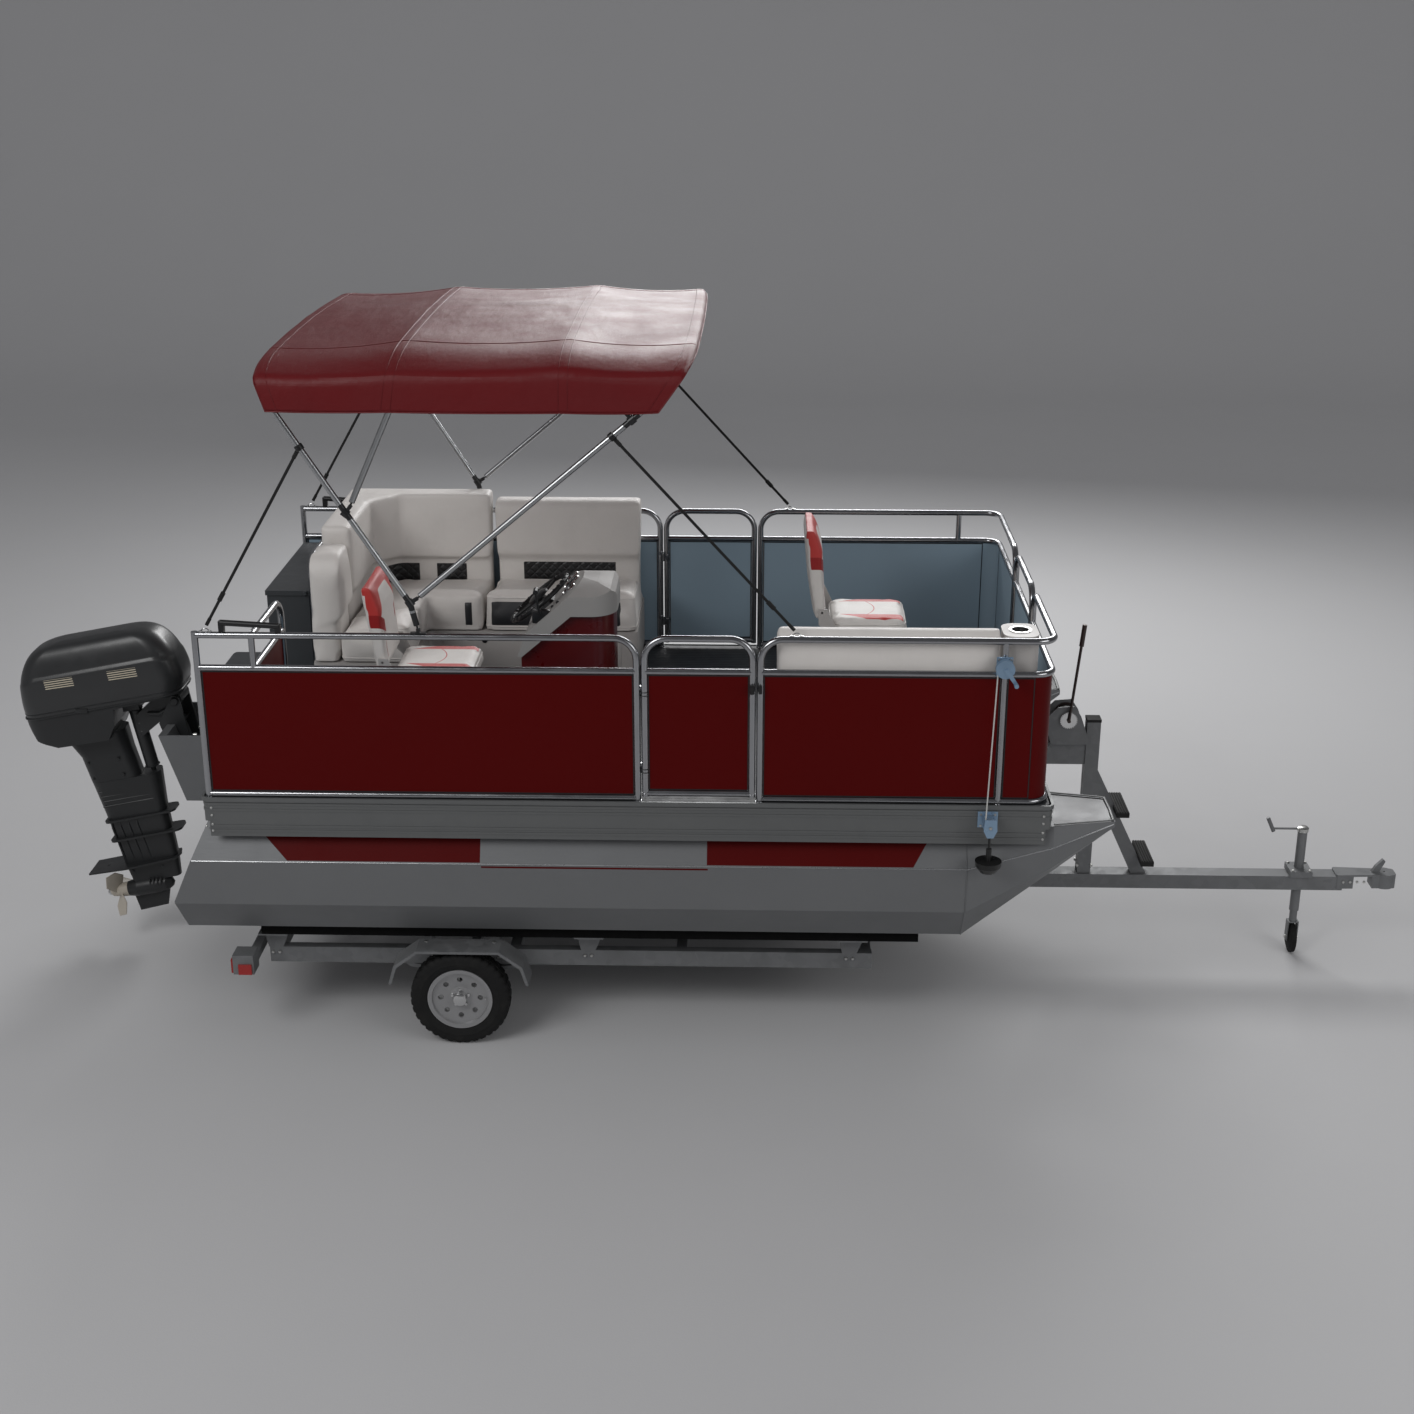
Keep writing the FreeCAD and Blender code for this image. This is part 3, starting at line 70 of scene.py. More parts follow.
# Materials
class Surface:
    def __init__(self, name, color, rough, metallic=0.0, mottle=0.08, scale=4.0, grain=350.0,
                 depth=0.0002, stretch=(1, 1, 1), **sockets):
        self.mat = bpy.data.materials.new(name)
        self.mat.use_nodes = True
        self.tree = self.mat.node_tree
        self.shader = self.tree.nodes["Principled BSDF"]
        self.metal = metallic
        for key, value in sockets.items():
            self.shader.inputs[key.replace("_", " ")].default_value = value
        coords = self.tree.nodes.new("ShaderNodeTexCoord")
        self.place, self.facing = coords.outputs["Object"], coords.outputs["Normal"]
        self.x, self.y, self.z = self.parts(self.place)
        self.nx, self.ny, self.nz = self.parts(self.facing)
        dark, light = self.shade(color, 1 - mottle), self.shade(color, 1 + mottle)
        self.color = self.mix(self.noise(scale, 5), dark, light)
        self.rough = self.remap(self.noise(scale * 2.7, 4), 0.3, 0.7, max(rough - 0.05, 0.02), rough + 0.07)
        self.bumps = [(self.noise(grain, 3, stretch), depth)]

    def node(self, kind, **props):
        made = self.tree.nodes.new(kind)
        for key, value in props.items():
            setattr(made, key, value)
        return made

    def put(self, socket, value):
        if hasattr(value, "is_output"):
            self.tree.links.new(value, socket)
        else:
            socket.default_value = value

    def parts(self, vector):
        made = self.node("ShaderNodeSeparateXYZ")
        self.put(made.inputs[0], vector)
        return made.outputs

    def shade(self, color, k):
        return tuple(min(c * k, 1.0) for c in color[:3]) + (1.0,)

    def mix(self, fac, a, b):
        made = self.node("ShaderNodeMix", data_type="RGBA")
        self.put(made.inputs[0], fac)
        self.put(made.inputs[6], a)
        self.put(made.inputs[7], b)
        return made.outputs[2]

    def calc(self, operation, a, b=0.0):
        made = self.node("ShaderNodeMath", operation=operation)
        self.put(made.inputs[0], a)
        self.put(made.inputs[1], b)
        return made.outputs[0]

    def plus(self, a, b):
        return self.calc("ADD", a, b)

    def minus(self, a, b):
        return self.calc("SUBTRACT", a, b)

    def times(self, a, b):
        return self.calc("MULTIPLY", a, b)

    def size(self, a):
        return self.calc("ABSOLUTE", a)

    def aside(self, y=0.0):
        """Distance to either side of a line along the boat, whose place is in deck millimetres."""
        return self.size(self.minus(self.y, SHIFT.y + y / 1000))

    def step(self, value, edge=0.0, soft=0.001):
        """0 below the edge and 1 above it."""
        return self.remap(value, edge - soft, edge + soft, 0, 1)

    def remap(self, value, a, b, c, d):
        made = self.node("ShaderNodeMapRange")
        for i, v in enumerate((value, a, b, c, d)):
            self.put(made.inputs[i], v)
        return made.outputs[0]

    def stretched(self, stretch):
        made = self.node("ShaderNodeMapping")
        self.put(made.inputs[0], self.place)
        made.inputs[3].default_value = stretch
        return made.outputs[0]

    def noise(self, scale, detail=3, stretch=(1, 1, 1)):
        made = self.node("ShaderNodeTexNoise")
        self.put(made.inputs["Vector"], self.place if stretch == (1, 1, 1) else self.stretched(stretch))
        made.inputs["Scale"].default_value = scale
        made.inputs["Detail"].default_value = detail
        return made.outputs["Fac"]

    def cells(self, scale, output="Distance", feature="F1"):
        made = self.node("ShaderNodeTexVoronoi", feature=feature)
        self.put(made.inputs["Vector"], self.place)
        made.inputs["Scale"].default_value = scale
        return made.outputs[output]

    def wave(self, value, pitch):
        turned = self.times(value, 2 * math.pi / pitch)
        return self.calc("SINE", turned)

    def within(self, value, low, high, soft=0.0008):
        a = self.remap(value, low - soft, low + soft, 0, 1)
        b = self.remap(value, high - soft, high + soft, 1, 0)
        return self.times(a, b)

    def both(self, *facs):
        out = facs[0]
        for fac in facs[1:]:
            out = self.times(out, fac)
        return out

    def paint(self, fac, color):
        self.color = self.mix(fac, self.color, tuple(color) + (1.0,))
        return self

    def relief(self, height, depth):
        self.bumps.append((height, depth))
        return self

    def done(self):
        self.put(self.shader.inputs["Base Color"], self.color)
        self.put(self.shader.inputs["Roughness"], self.rough)
        self.put(self.shader.inputs["Metallic"], self.metal)
        normal = None
        for height, depth in self.bumps:
            bump = self.node("ShaderNodeBump")
            bump.inputs["Strength"].default_value = 1.0
            bump.inputs["Distance"].default_value = depth
            self.put(bump.inputs["Height"], height)
            if normal is not None:
                self.put(bump.inputs["Normal"], normal)
            normal = bump.outputs[0]
        self.put(self.shader.inputs["Normal"], normal)
        return self.mat


RED = (0.080, 0.0008, 0.0008)
CORAL = (0.50, 0.035, 0.03)
BLUE_GREY = (0.27, 0.36, 0.43)
WHITE = (0.66, 0.63, 0.60)


def worn(s, color, amount=0.35, scale=9.0):
    """Faint grime in broad soft patches."""
    fac = s.remap(s.noise(scale, 6), 0.52, 0.75, 0.0, amount)
    return s.paint(fac, color)


def hull_metal():
    s = Surface("hull_aluminium", (0.185, 0.19, 0.195), 0.48, 0.45, 0.05, 2.0, 60, 0.0004, (0.15, 1, 1))
    worn(s, (0.17, 0.175, 0.18), 0.35, 3.0)
    s.relief(s.noise(900, 2, (0.05, 1, 1)), 0.00008)
    z0, z1 = SHIFT.z + CHINE_Z / 1000, SHIFT.z - 0.2
    low = s.minus(s.z, z0)
    aft = s.plus(s.times(low, -1.04), SHIFT.x + 0.400)
    fore = s.plus(s.times(low, 0.62), SHIFT.x + 3.592)
    span = s.both(s.step(s.minus(s.x, aft)), s.step(s.minus(fore, s.x)))
    place = s.remap(s.size(s.minus(s.x, SHIFT.x + 1.965)), 0.579, 0.581, 0, 1)
    side = s.remap(s.aside(), 1.0, 1.001, 0, 1)
    band = s.both(s.within(s.z, z0 + 0.006, z1), span, place, side)
    line = s.both(s.within(s.z, z0 - 0.022, z0 - 0.012), side,
                  s.within(s.x, SHIFT.x + 1.39, SHIFT.x + 2.55))
    marks = s.calc("MAXIMUM", band, line)
    s.metal = s.remap(marks, 0, 1, 0.45, 0.0)
    s.put(s.shader.inputs["Specular IOR Level"], s.remap(marks, 0, 1, 0.5, 0.1))
    return s.paint(marks, RED).done()


def plain_metal(name, color, rough, metallic=1.0, **more):
    s = Surface(name, color, rough, metallic, 0.05, 3.0, 500, 0.00005, (0.1, 1, 1), **more)
    worn(s, tuple(c * 0.7 for c in color), 0.25, 6.0)
    return s.done()


def jointed_bow(name, joints):
    """Tube with black plastic at the joints, each given as a place in the side view and a reach."""
    s = Surface(name, (0.44, 0.45, 0.46), 0.30, 1.0, 0.05, 3.0, 500, 0.00005, (0.1, 1, 1))
    for x, z, reach in joints:
        dx = s.minus(s.x, SHIFT.x + x / 1000)
        dz = s.minus(s.z, SHIFT.z + z / 1000)
        far = s.calc("SQRT", s.plus(s.times(dx, dx), s.times(dz, dz)))
        near = s.remap(far, reach / 1000 - 0.0005, reach / 1000 + 0.0005, 1, 0)
        s.paint(near, (0.012, 0.012, 0.013))
        s.metal = s.times(s.minus(1.0, near), s.metal)
    return s.done()


def panel_paint(name, outward):
    """Red outside and blue-grey inside. outward picks the face by its direction in the part's own frame."""
    s = Surface(name, RED, 0.40, 0.0, 0.05, 1.3, 14, 0.0008, Specular_IOR_Level=0.10)
    s.relief(s.noise(700, 2), 0.00004)
    inside = s.remap(outward(s), -0.02, 0.02, 1, 0)
    s.paint(inside, BLUE_GREY)
    return s.done()


def deck_vinyl():
    s = Surface("deck_vinyl", (0.030, 0.032, 0.035), 0.55, 0.0, 0.15, 6.0, 250, 0.0003)
    rib = s.remap(s.wave(s.y, 0.032), 0.2, 0.75, 0, 1)
    s.paint(s.times(rib, 0.6), (0.075, 0.08, 0.085))
    worn(s, (0.09, 0.085, 0.08), 0.25, 5.0)
    s.relief(rib, 0.0016)
    return s.done()


def moulded(name, color, rough=0.42, grain=260, depth=0.00025, **more):
    s = Surface(name, color, rough, 0.0, 0.06, 3.0, grain, depth, **more)
    worn(s, tuple(c * 0.72 for c in color), 0.3, 4.0)
    return s.done()


def pad_accents(x, y):
    """Two coral bands along a seat pad, tapered to the rear, and a thin curved seam between them."""
    def add(s):
        across = s.aside(y)
        ahead = s.minus(s.x, SHIFT.x + x / 1000)
        outer = s.remap(ahead, -0.15, 0.0, 0.118, 0.186)
        bands = s.both(s.step(s.minus(across, 0.118)),
                       s.step(s.minus(outer, across)),
                       s.within(ahead, -0.15, 0.205), s.remap(s.nz, 0.15, 0.25, 0, 1))
        bow = s.plus(ahead, s.times(s.times(across, across), 3.0))
        seam = s.both(s.within(bow, 0.047, 0.053), s.remap(across, 0.117, 0.119, 1, 0))
        s.paint(bands, CORAL)
        s.paint(seam, CORAL)
    return add


def back_accents(x, y, crest):
    """A coral cap that runs down both edges of a seat back, and a darker chevron under it."""
    def add(s):
        across = s.aside(y)
        down = s.minus(SHIFT.z + crest / 1000, s.z)
        front = s.remap(s.nx, -0.25, -0.15, 0, 1)
        reach = s.remap(across, 0.09, 0.19, 0.055, 0.185)
        cap = s.step(s.minus(reach, down))
        tail = s.remap(s.minus(down, 0.055), -0.001, 0.001, 1, 0)
        inner = s.remap(down, 0.055, 0.185, 0.10, 0.185)
        flank = s.both(cap, s.step(s.minus(across, inner)), front)
        slope = s.minus(down, s.times(across, -0.55))
        chevron = s.both(s.within(slope, 0.275, 0.345), s.within(across, 0.13, 0.24), front)
        line = s.both(s.within(across, 0.158, 0.163), s.within(down, 0.24, 0.40), front)
        s.paint(s.both(tail, s.remap(s.nx, -0.9, -0.8, 0, 1)), CORAL)
        s.paint(flank, CORAL)
        s.paint(chevron, (0.30, 0.006, 0.006))
        s.paint(line, (0.30, 0.006, 0.006))
    return add


def leather(name, color, rough=0.44, extra=None):
    s = Surface(name, color, rough, 0.0, 0.05, 3.0, 60, 0.0006, Sheen_Weight=0.08, Sheen_Roughness=0.5)
    creases = s.cells(420, feature="DISTANCE_TO_EDGE")
    s.relief(s.remap(creases, 0.0, 0.18, 0, 1), 0.00018)
    s.relief(s.noise(9, 4), 0.004)
    worn(s, tuple(c * 0.8 for c in color), 0.3, 5.0)
    if extra:
        extra(s)
    return s.done()


def quilted():
    s = Surface("quilted_black", (0.012, 0.012, 0.013), 0.42, 0.0, 0.15, 8.0, 300, 0.0003)
    a = s.size(s.wave(s.plus(s.x, s.z), 0.11))
    b = s.size(s.wave(s.minus(s.x, s.z), 0.11))
    puff = s.calc("POWER", s.calc("MINIMUM", a, b), 0.5)
    s.relief(puff, 0.006)
    return s.done()


def canvas(name, color):
    s = Surface(name, color, 0.46, 0.0, 0.07, 1.6, 40, 0.0008, Specular_IOR_Level=0.36)
    weave = s.both(s.size(s.wave(s.x, 0.0044)), s.size(s.wave(s.y, 0.0044)))
    s.relief(weave, 0.0002)
    s.relief(s.noise(5.5, 4, (1, 0.4, 1)), 0.010)
    worn(s, tuple(c * 0.7 for c in color), 0.35, 2.5)
    return s.done()


def zinc():
    s = Surface("galvanised_steel", (0.17, 0.175, 0.18), 0.50, 0.45, 0.08, 5.0, 300, 0.0001)
    flakes = s.cells(26, "Color")
    fleck = s.parts(flakes)[0]
    s.color = s.mix(s.times(fleck, 0.5), s.color, (0.24, 0.245, 0.25, 1))
    s.rough = s.remap(fleck, 0, 1, 0.44, 0.60)
    worn(s, (0.11, 0.11, 0.11), 0.35, 6.0)
    return s.done()


def carpet():
    s = Surface("bunk_carpet", (0.006, 0.006, 0.006), 0.95, 0.0, 0.3, 30.0, 900, 0.0015,
                Specular_IOR_Level=0.1)
    s.relief(s.noise(350, 4), 0.0015)
    return s.done()


def rubber():
    s = Surface("tyre_rubber", (0.009, 0.009, 0.009), 0.75, 0.0, 0.15, 12.0, 400, 0.0003,
                Specular_IOR_Level=0.3)
    worn(s, (0.026, 0.024, 0.022), 0.3, 14.0)
    return s.done()


TRIM = math.radians(11)
TILT = at(-470, 0, 95)


def along_leg(s):
    """Height up the tilted motor and distance ahead of its tilt tube, in metres."""
    dx = s.minus(s.x, TILT.x)
    dz = s.minus(s.z, TILT.z)
    up = s.minus(s.times(dz, math.cos(TRIM)), s.times(dx, math.sin(TRIM)))
    ahead = s.plus(s.times(dx, math.cos(TRIM)), s.times(dz, math.sin(TRIM)))
    return up, ahead


def cowl_paint():
    s = Surface("motor_charcoal", (0.024, 0.025, 0.026), 0.38, 0.0, 0.08, 5.0, 600, 0.00006, Coat_Weight=0.25,
                Coat_Roughness=0.25)
    up, ahead = along_leg(s)
    lift = s.minus(up, s.times(ahead, -0.03))
    lines = s.remap(s.wave(lift, 0.0125), 0.15, 0.3, 0, 1)
    rows = s.within(lift, 0.196, 0.252)
    oval = s.remap(s.size(s.plus(ahead, 0.395)), 0.099, 0.1, 0, 1)
    sides = s.remap(s.aside(), 0.11, 0.112, 0, 1)
    ends = s.within(ahead, -0.66, -0.13)
    s.paint(s.both(lines, rows, oval, ends, sides), (0.56, 0.50, 0.38))
    return s.done()


m = {
    "hull": hull_metal(),
    "skirt": plain_metal("skirt_aluminium", (0.155, 0.16, 0.16), 0.45, 0.5),
    "chine": plain_metal("chine_metal", (0.50, 0.51, 0.52), 0.26, 0.85),
    "nose": plain_metal("nose_deck_metal", (0.050, 0.052, 0.055), 0.36, 0.4),
    "beam": plain_metal("beam_aluminium", (0.17, 0.175, 0.18), 0.48, 0.4),
    "rail": plain_metal("rail_aluminium", (0.40, 0.405, 0.42), 0.20),
    "bow": plain_metal("bow_aluminium", (0.44, 0.45, 0.46), 0.30),
    "main_bow": jointed_bow("main_bow_aluminium", [(1098, 1042, 44), (812, 1495, 44), (1128, 905, 85)]),
    "mid_bow": jointed_bow("mid_bow_aluminium", [(830.6, 1516, 30)]),
    "second_bow": jointed_bow("second_bow_aluminium", [(2169, 1974, 30)]),
    "front_bow": jointed_bow("front_bow_aluminium", [(1125.4, 1055.3, 30), (2187, 1952, 48)]),
    "steel": plain_metal("stainless_steel", (0.72, 0.72, 0.72), 0.16),
    "bolt": plain_metal("zinc_bolts", (0.62, 0.62, 0.60), 0.32),
    "blue": plain_metal("blue_enamel", (0.26, 0.38, 0.52), 0.30, 0.55),
    "rim": plain_metal("rim_silver", (0.34, 0.34, 0.345), 0.34, 0.55),
    "zinc": zinc(),
    "deck": deck_vinyl(),
    "box": moulded("cabinet_grey", (0.035, 0.039, 0.043), 0.40),
    "shell": moulded("furniture_shell", (0.42, 0.40, 0.385), 0.42),
    "dash": moulded("dash_gelcoat", (0.30, 0.29, 0.28), 0.58, 90, 0.0006),
    "red": moulded("console_red", RED, 0.30, 200, 0.0001, Coat_Weight=0.3),
    "black": moulded("black_plastic", (0.010, 0.010, 0.011), 0.38, 400, 0.0001),
    "vinyl": leather("vinyl_white", WHITE),
    "driver_pad": leather("driver_pad_vinyl", WHITE, extra=pad_accents(1078, HELM_Y)),
    "driver_back": leather("driver_back_vinyl", WHITE, extra=back_accents(828, HELM_Y, 940)),
    "bow_pad": leather("bow_pad_vinyl", WHITE, extra=pad_accents(3400, 276)),
    "bow_back": leather("bow_back_vinyl", WHITE, extra=back_accents(3150, 276, 1070)),
    "charcoal": leather("vinyl_charcoal", (0.020, 0.021, 0.024)),
    "quilt": quilted(),
    "canvas": canvas("canopy_canvas", (0.125, 0.002, 0.004)),
    "webbing": canvas("black_webbing", (0.010, 0.010, 0.010)),
    "rope": moulded("rope_fibre", (0.55, 0.55, 0.53), 0.8),
    "carpet": carpet(),
    "tyre": rubber(),
    "cowl": cowl_paint(),
    "leg": moulded("motor_leg_paint", (0.018, 0.019, 0.020), 0.40, 300, 0.0001),
    "prop": moulded("propeller_paint", (0.42, 0.38, 0.32), 0.36, 200, 0.0001),
    "iron": moulded("anchor_coating", (0.010, 0.010, 0.010), 0.30, 60, 0.0006),
    "winch": plain_metal("winch_dark", (0.06, 0.045, 0.042), 0.36, 0.6),
    "tread": moulded("step_rubber", (0.012, 0.012, 0.012), 0.8, 120, 0.0012),
    "lens": moulded("lens_red", (0.30, 0.008, 0.006), 0.18, 90, 0.0008, Coat_Weight=0.5),
    "starboard": panel_paint("panel_starboard", lambda s: s.minus(s.nx, s.ny)),
    "port": panel_paint("panel_port", lambda s: s.plus(s.nx, s.ny)),
    "bow_gate": panel_paint("panel_bow_gate", lambda s: s.nx),
}


# Mesh tools
def piece(name, verts, faces, material, body, smooth=True):
    data = bpy.data.meshes.new(name)
    data.from_pydata([tuple(v) for v in verts], [], faces)
    data.update()
    return adopt(name, data, material, body, smooth)


def adopt(name, data, material, body, smooth=True):
    data.materials.clear()
    data.materials.append(m[material])
    data.polygons.foreach_set("use_smooth", [smooth] * len(data.polygons))
    obj = bpy.data.objects.new(name, data)
    bpy.context.scene.collection.objects.link(obj)
    if smooth:
        data.set_sharp_from_angle(angle=math.radians(40))
    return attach(obj, body) if body else obj


def frames_along(points, closed=False):
    """A side and an up direction at each point, carried along without twist."""
    count = len(points)
    tangents = []
    for i in range(count):
        a = points[(i - 1) % count] if closed else points[max(i - 1, 0)]
        b = points[(i + 1) % count] if closed else points[min(i + 1, count - 1)]
        tangents.append((b - a).normalized())
    ref = Vector((0, 0, 1)) if abs(tangents[0].z) < 0.9 else Vector((1, 0, 0))
    side = tangents[0].cross(ref).normalized()
    out = []
    for t in tangents:
        side = (side - t * side.dot(t)).normalized()
        out.append((side, t.cross(side)))
    return out


def around(count):
    """Cosine and sine of each of count even steps round a circle."""
    return [(math.cos(a), math.sin(a)) for a in (2 * math.pi * k / count for k in range(count))]


def bridge(rings, sides, closed=False, capped=True):
    """Quads between neighbouring rings of points. A closed row of rings joins its last to its first."""
    faces = []
    for i in range(rings if closed else rings - 1):
        j = (i + 1) % rings
        for k in range(sides):
            n = (k + 1) % sides
            faces.append((i * sides + k, i * sides + n, j * sides + n, j * sides + k))
    if capped and not closed:
        faces.append(tuple(reversed(range(sides))))
        faces.append(tuple((rings - 1) * sides + k for k in range(sides)))
    return faces


def grid(rows, wide):
    """Quads between neighbouring rows of an open net of points."""
    return [(i * wide + k, i * wide + k + 1, (i + 1) * wide + k + 1, (i + 1) * wide + k)
            for i in range(rows - 1) for k in range(wide - 1)]


class Parts:
    """Collects many small forms into one mesh."""

    def __init__(self):
        self.verts, self.faces = [], []

    def add(self, verts, faces):
        base = len(self.verts)
        self.verts += [Vector(v) for v in verts]
        self.faces += [tuple(base + i for i in f) for f in faces]

    def sweep(self, points, radius, sides=10, closed=False, flat=1.0):
        points = [Vector(p) for p in points]
        radii = radius if hasattr(radius, "__len__") else [radius] * len(points)
        verts = []
        for p, r, (side, up) in zip(points, radii, frames_along(points, closed)):
            verts += [p + side * c * r + up * s * r * flat for c, s in around(sides)]
        self.add(verts, bridge(len(points), sides, closed))

    def lathe(self, profile, centre, axis, sides=32, full=True):
        axis = Vector(axis).normalized()
        ref = Vector((0, 0, 1)) if abs(axis.z) < 0.9 else Vector((1, 0, 0))
        side = axis.cross(ref).normalized()
        up = axis.cross(side)
        verts = [Vector(centre) + axis * along + (side * c + up * s) * r
                 for r, along in profile for c, s in around(sides)]
        self.add(verts, bridge(len(profile), sides, capped=full))

    def stud(self, centre, axis, r, h, sides=6):
        self.lathe([(r, -0.0005), (r, h * 0.75), (r * 0.82, h)], centre, axis, sides)

    def brick(self, lo, hi, bevel=0.0):
        lo, hi = Vector(lo), Vector(hi)
        centre, half = (lo + hi) / 2, (hi - lo) / 2
        bm = bmesh.new()
        bmesh.ops.create_cube(bm, size=2)
        for v in bm.verts:
            v.co = Vector((v.co.x * half.x, v.co.y * half.y, v.co.z * half.z)) + centre
        if bevel:
            bmesh.ops.bevel(bm, geom=bm.edges[:], offset=bevel, segments=2, affect="EDGES", profile=0.5)
        bm.verts.index_update()
        self.add([v.co.copy() for v in bm.verts], [tuple(v.index for v in f.verts) for f in bm.faces])
        bm.free()

    def make(self, name, material, body, smooth=True):
        return piece(name, self.verts, self.faces, material, body, smooth)


def curve_through(points, steps=8, closed=False):
    """Points on a smooth line through the given ones."""
    points = [Vector(p) for p in points]
    count = len(points)
    out = []
    for i in range(count if closed else count - 1):
        if closed:
            p = [points[(i + k) % count] for k in (-1, 0, 1, 2)]
        else:
            p = [points[max(i - 1, 0)], points[i], points[i + 1], points[min(i + 2, count - 1)]]
        for k in range(steps):
            t = k / steps
            out.append(0.5 * (2 * p[1] + (p[2] - p[0]) * t + (2 * p[0] - 5 * p[1] + 4 * p[2] - p[3]) * t * t
                              + (3 * p[1] - p[0] - 3 * p[2] + p[3]) * t ** 3))
    if not closed:
        out.append(points[-1])
    return out


def loose_solids(node):
    bm = bmesh.new()
    bm.from_mesh(nodes[node].data)
    bmesh.ops.remove_doubles(bm, verts=bm.verts, dist=2e-5)
    left = set(bm.verts)
    groups = []
    while left:
        stack = [left.pop()]
        group = set(stack)
        while stack:
            for e in stack.pop().link_edges:
                for v in e.verts:
                    if v in left:
                        left.discard(v)
                        group.add(v)
                        stack.append(v)
        groups.append(group)
    bm.verts.index_update()
    out = []
    for group in groups:
        order = sorted(group, key=lambda v: v.index)
        index = {v: i for i, v in enumerate(order)}
        faces = [tuple(index[v] for v in f.verts) for f in bm.faces if f.verts[0] in group]
        out.append(([v.co.copy() for v in order], faces))
    bm.free()
    return out


def evaluated(obj):
    depsgraph = bpy.context.evaluated_depsgraph_get()
    depsgraph.update()
    return bpy.data.meshes.new_from_object(obj.evaluated_get(depsgraph))


def with_modifier(obj, kind, **props):
    modifier = obj.modifiers.new(kind, kind)
    for key, value in props.items():
        setattr(modifier, key, value)
    data = evaluated(obj)
    obj.modifiers.clear()
    old, obj.data = obj.data, data
    bpy.data.meshes.remove(old)


# Cushions: each starts from its CAD solid, is remeshed, blown up a little as foam in its cover, and softened
waiting = []


def stuffed(name, verts, faces, material, body, voxel, rest, cap=0.014, fill=0.8, inset=0.006, shaped=None):
    obj = piece(name, verts, faces, material, None)
    with_modifier(obj, "REMESH", mode="VOXEL", voxel_size=voxel, adaptivity=0.0, use_smooth_shade=True)
    with_modifier(obj, "SMOOTH", factor=0.5, iterations=4)
    for v in obj.data.vertices:
        v.co -= v.normal * inset
    group = obj.vertex_groups.new(name="rest")
    lo = Vector([min(v.co[i] for v in obj.data.vertices) for i in range(3)])
    hi = Vector([max(v.co[i] for v in obj.data.vertices) for i in range(3)])
    if shaped:
        for v in obj.data.vertices:
            v.co += shaped(v.co, lo, hi)
    held = [v.index for v in obj.data.vertices if rest(v.co, lo, hi)]
    group.add(held, 1.0, "REPLACE")
    waiting.append((obj, body, cap, fill))
    return obj


def blow_up():
    starts = {}
    for obj, body, cap, fill in waiting:
        starts[obj.name] = [v.co.copy() for v in obj.data.vertices]
        modifier = obj.modifiers.new("Cloth", "CLOTH")
        cloth = modifier.settings
        cloth.quality = 4
        cloth.mass = 0.4
        cloth.use_pressure = True
        cloth.uniform_pressure_force = 4.0
        cloth.tension_stiffness = 12
        cloth.compression_stiffness = 12
        cloth.bending_stiffness = 2.0
        cloth.effector_weights.gravity = 0.0
        cloth.vertex_group_mass = "rest"
        modifier.collision_settings.use_collision = False
        modifier.point_cache.frame_end = 20
    for k in range(1, 21):
        bpy.context.scene.frame_set(k)
    for obj, body, cap, fill in waiting:
        data = evaluated(obj)
        moved = [v.co.copy() for v in data.vertices]
        bpy.data.meshes.remove(data)
        obj.modifiers.clear()
        for v, a, b in zip(obj.data.vertices, starts[obj.name], moved):
            step = b - a
            v.co = a + step.normalized() * cap * math.tanh(step.length / cap)
        with_modifier(obj, "SUBSURF", levels=1, render_levels=1)
        obj.data.polygons.foreach_set("use_smooth", [True] * len(obj.data.polygons))
        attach(obj, body)
    bpy.context.scene.frame_set(1)
    waiting.clear()


def skin_of(*objs):
    verts, faces = [], []
    for obj in objs:
        base = len(verts)
        verts += [v.co.copy() for v in obj.data.vertices]
        faces += [tuple(base + i for i in p.vertices) for p in obj.data.polygons]
    return BVHTree.FromPolygons(verts, faces)


def on_skin(tree, point, lift):
    spot, normal, _, _ = tree.find_nearest(Vector(point))
    return spot + normal * lift, normal


def piping(name, tree, loops, material, body, r=0.0035, lift=0.001, closed=True):
    parts = Parts()
    for loop in loops:
        points = [on_skin(tree, p, lift)[0] for p in loop]
        parts.sweep(points, r, 6, closed)
    return parts.make(name, material, body)


def inset_pad(name, tree, corner, du, dv, toward, material, body, nu=24, nv=10, lift=0.004, puff=0.004):
    """A sewn panel: a grid thrown onto the cushion along one direction, crowned, with its edge tucked in."""
    corner, du, dv, toward = Vector(corner), Vector(du), Vector(dv), Vector(toward).normalized()
    verts = []
    for j in range(nv + 1):
        for i in range(nu + 1):
            p = corner + du * i / nu + dv * j / nv
            hit, normal, _, _ = tree.ray_cast(p, toward)
            if hit is None:
                hit, normal, _, _ = tree.find_nearest(p)
            edge = min(i, nu - i, j, nv - j)
            rise = -0.003 if edge == 0 else lift * min(edge, 2) / 2 + puff * min(edge, 4) / 4
            verts.append(hit + normal * rise)
    faces = grid(nv + 1, nu + 1)
    normal = (verts[1] - verts[0]).cross(verts[nu + 1] - verts[0])
    if normal.dot(toward) > 0:
        faces = [tuple(reversed(f)) for f in faces]
    return piece(name, verts, faces, material, body)


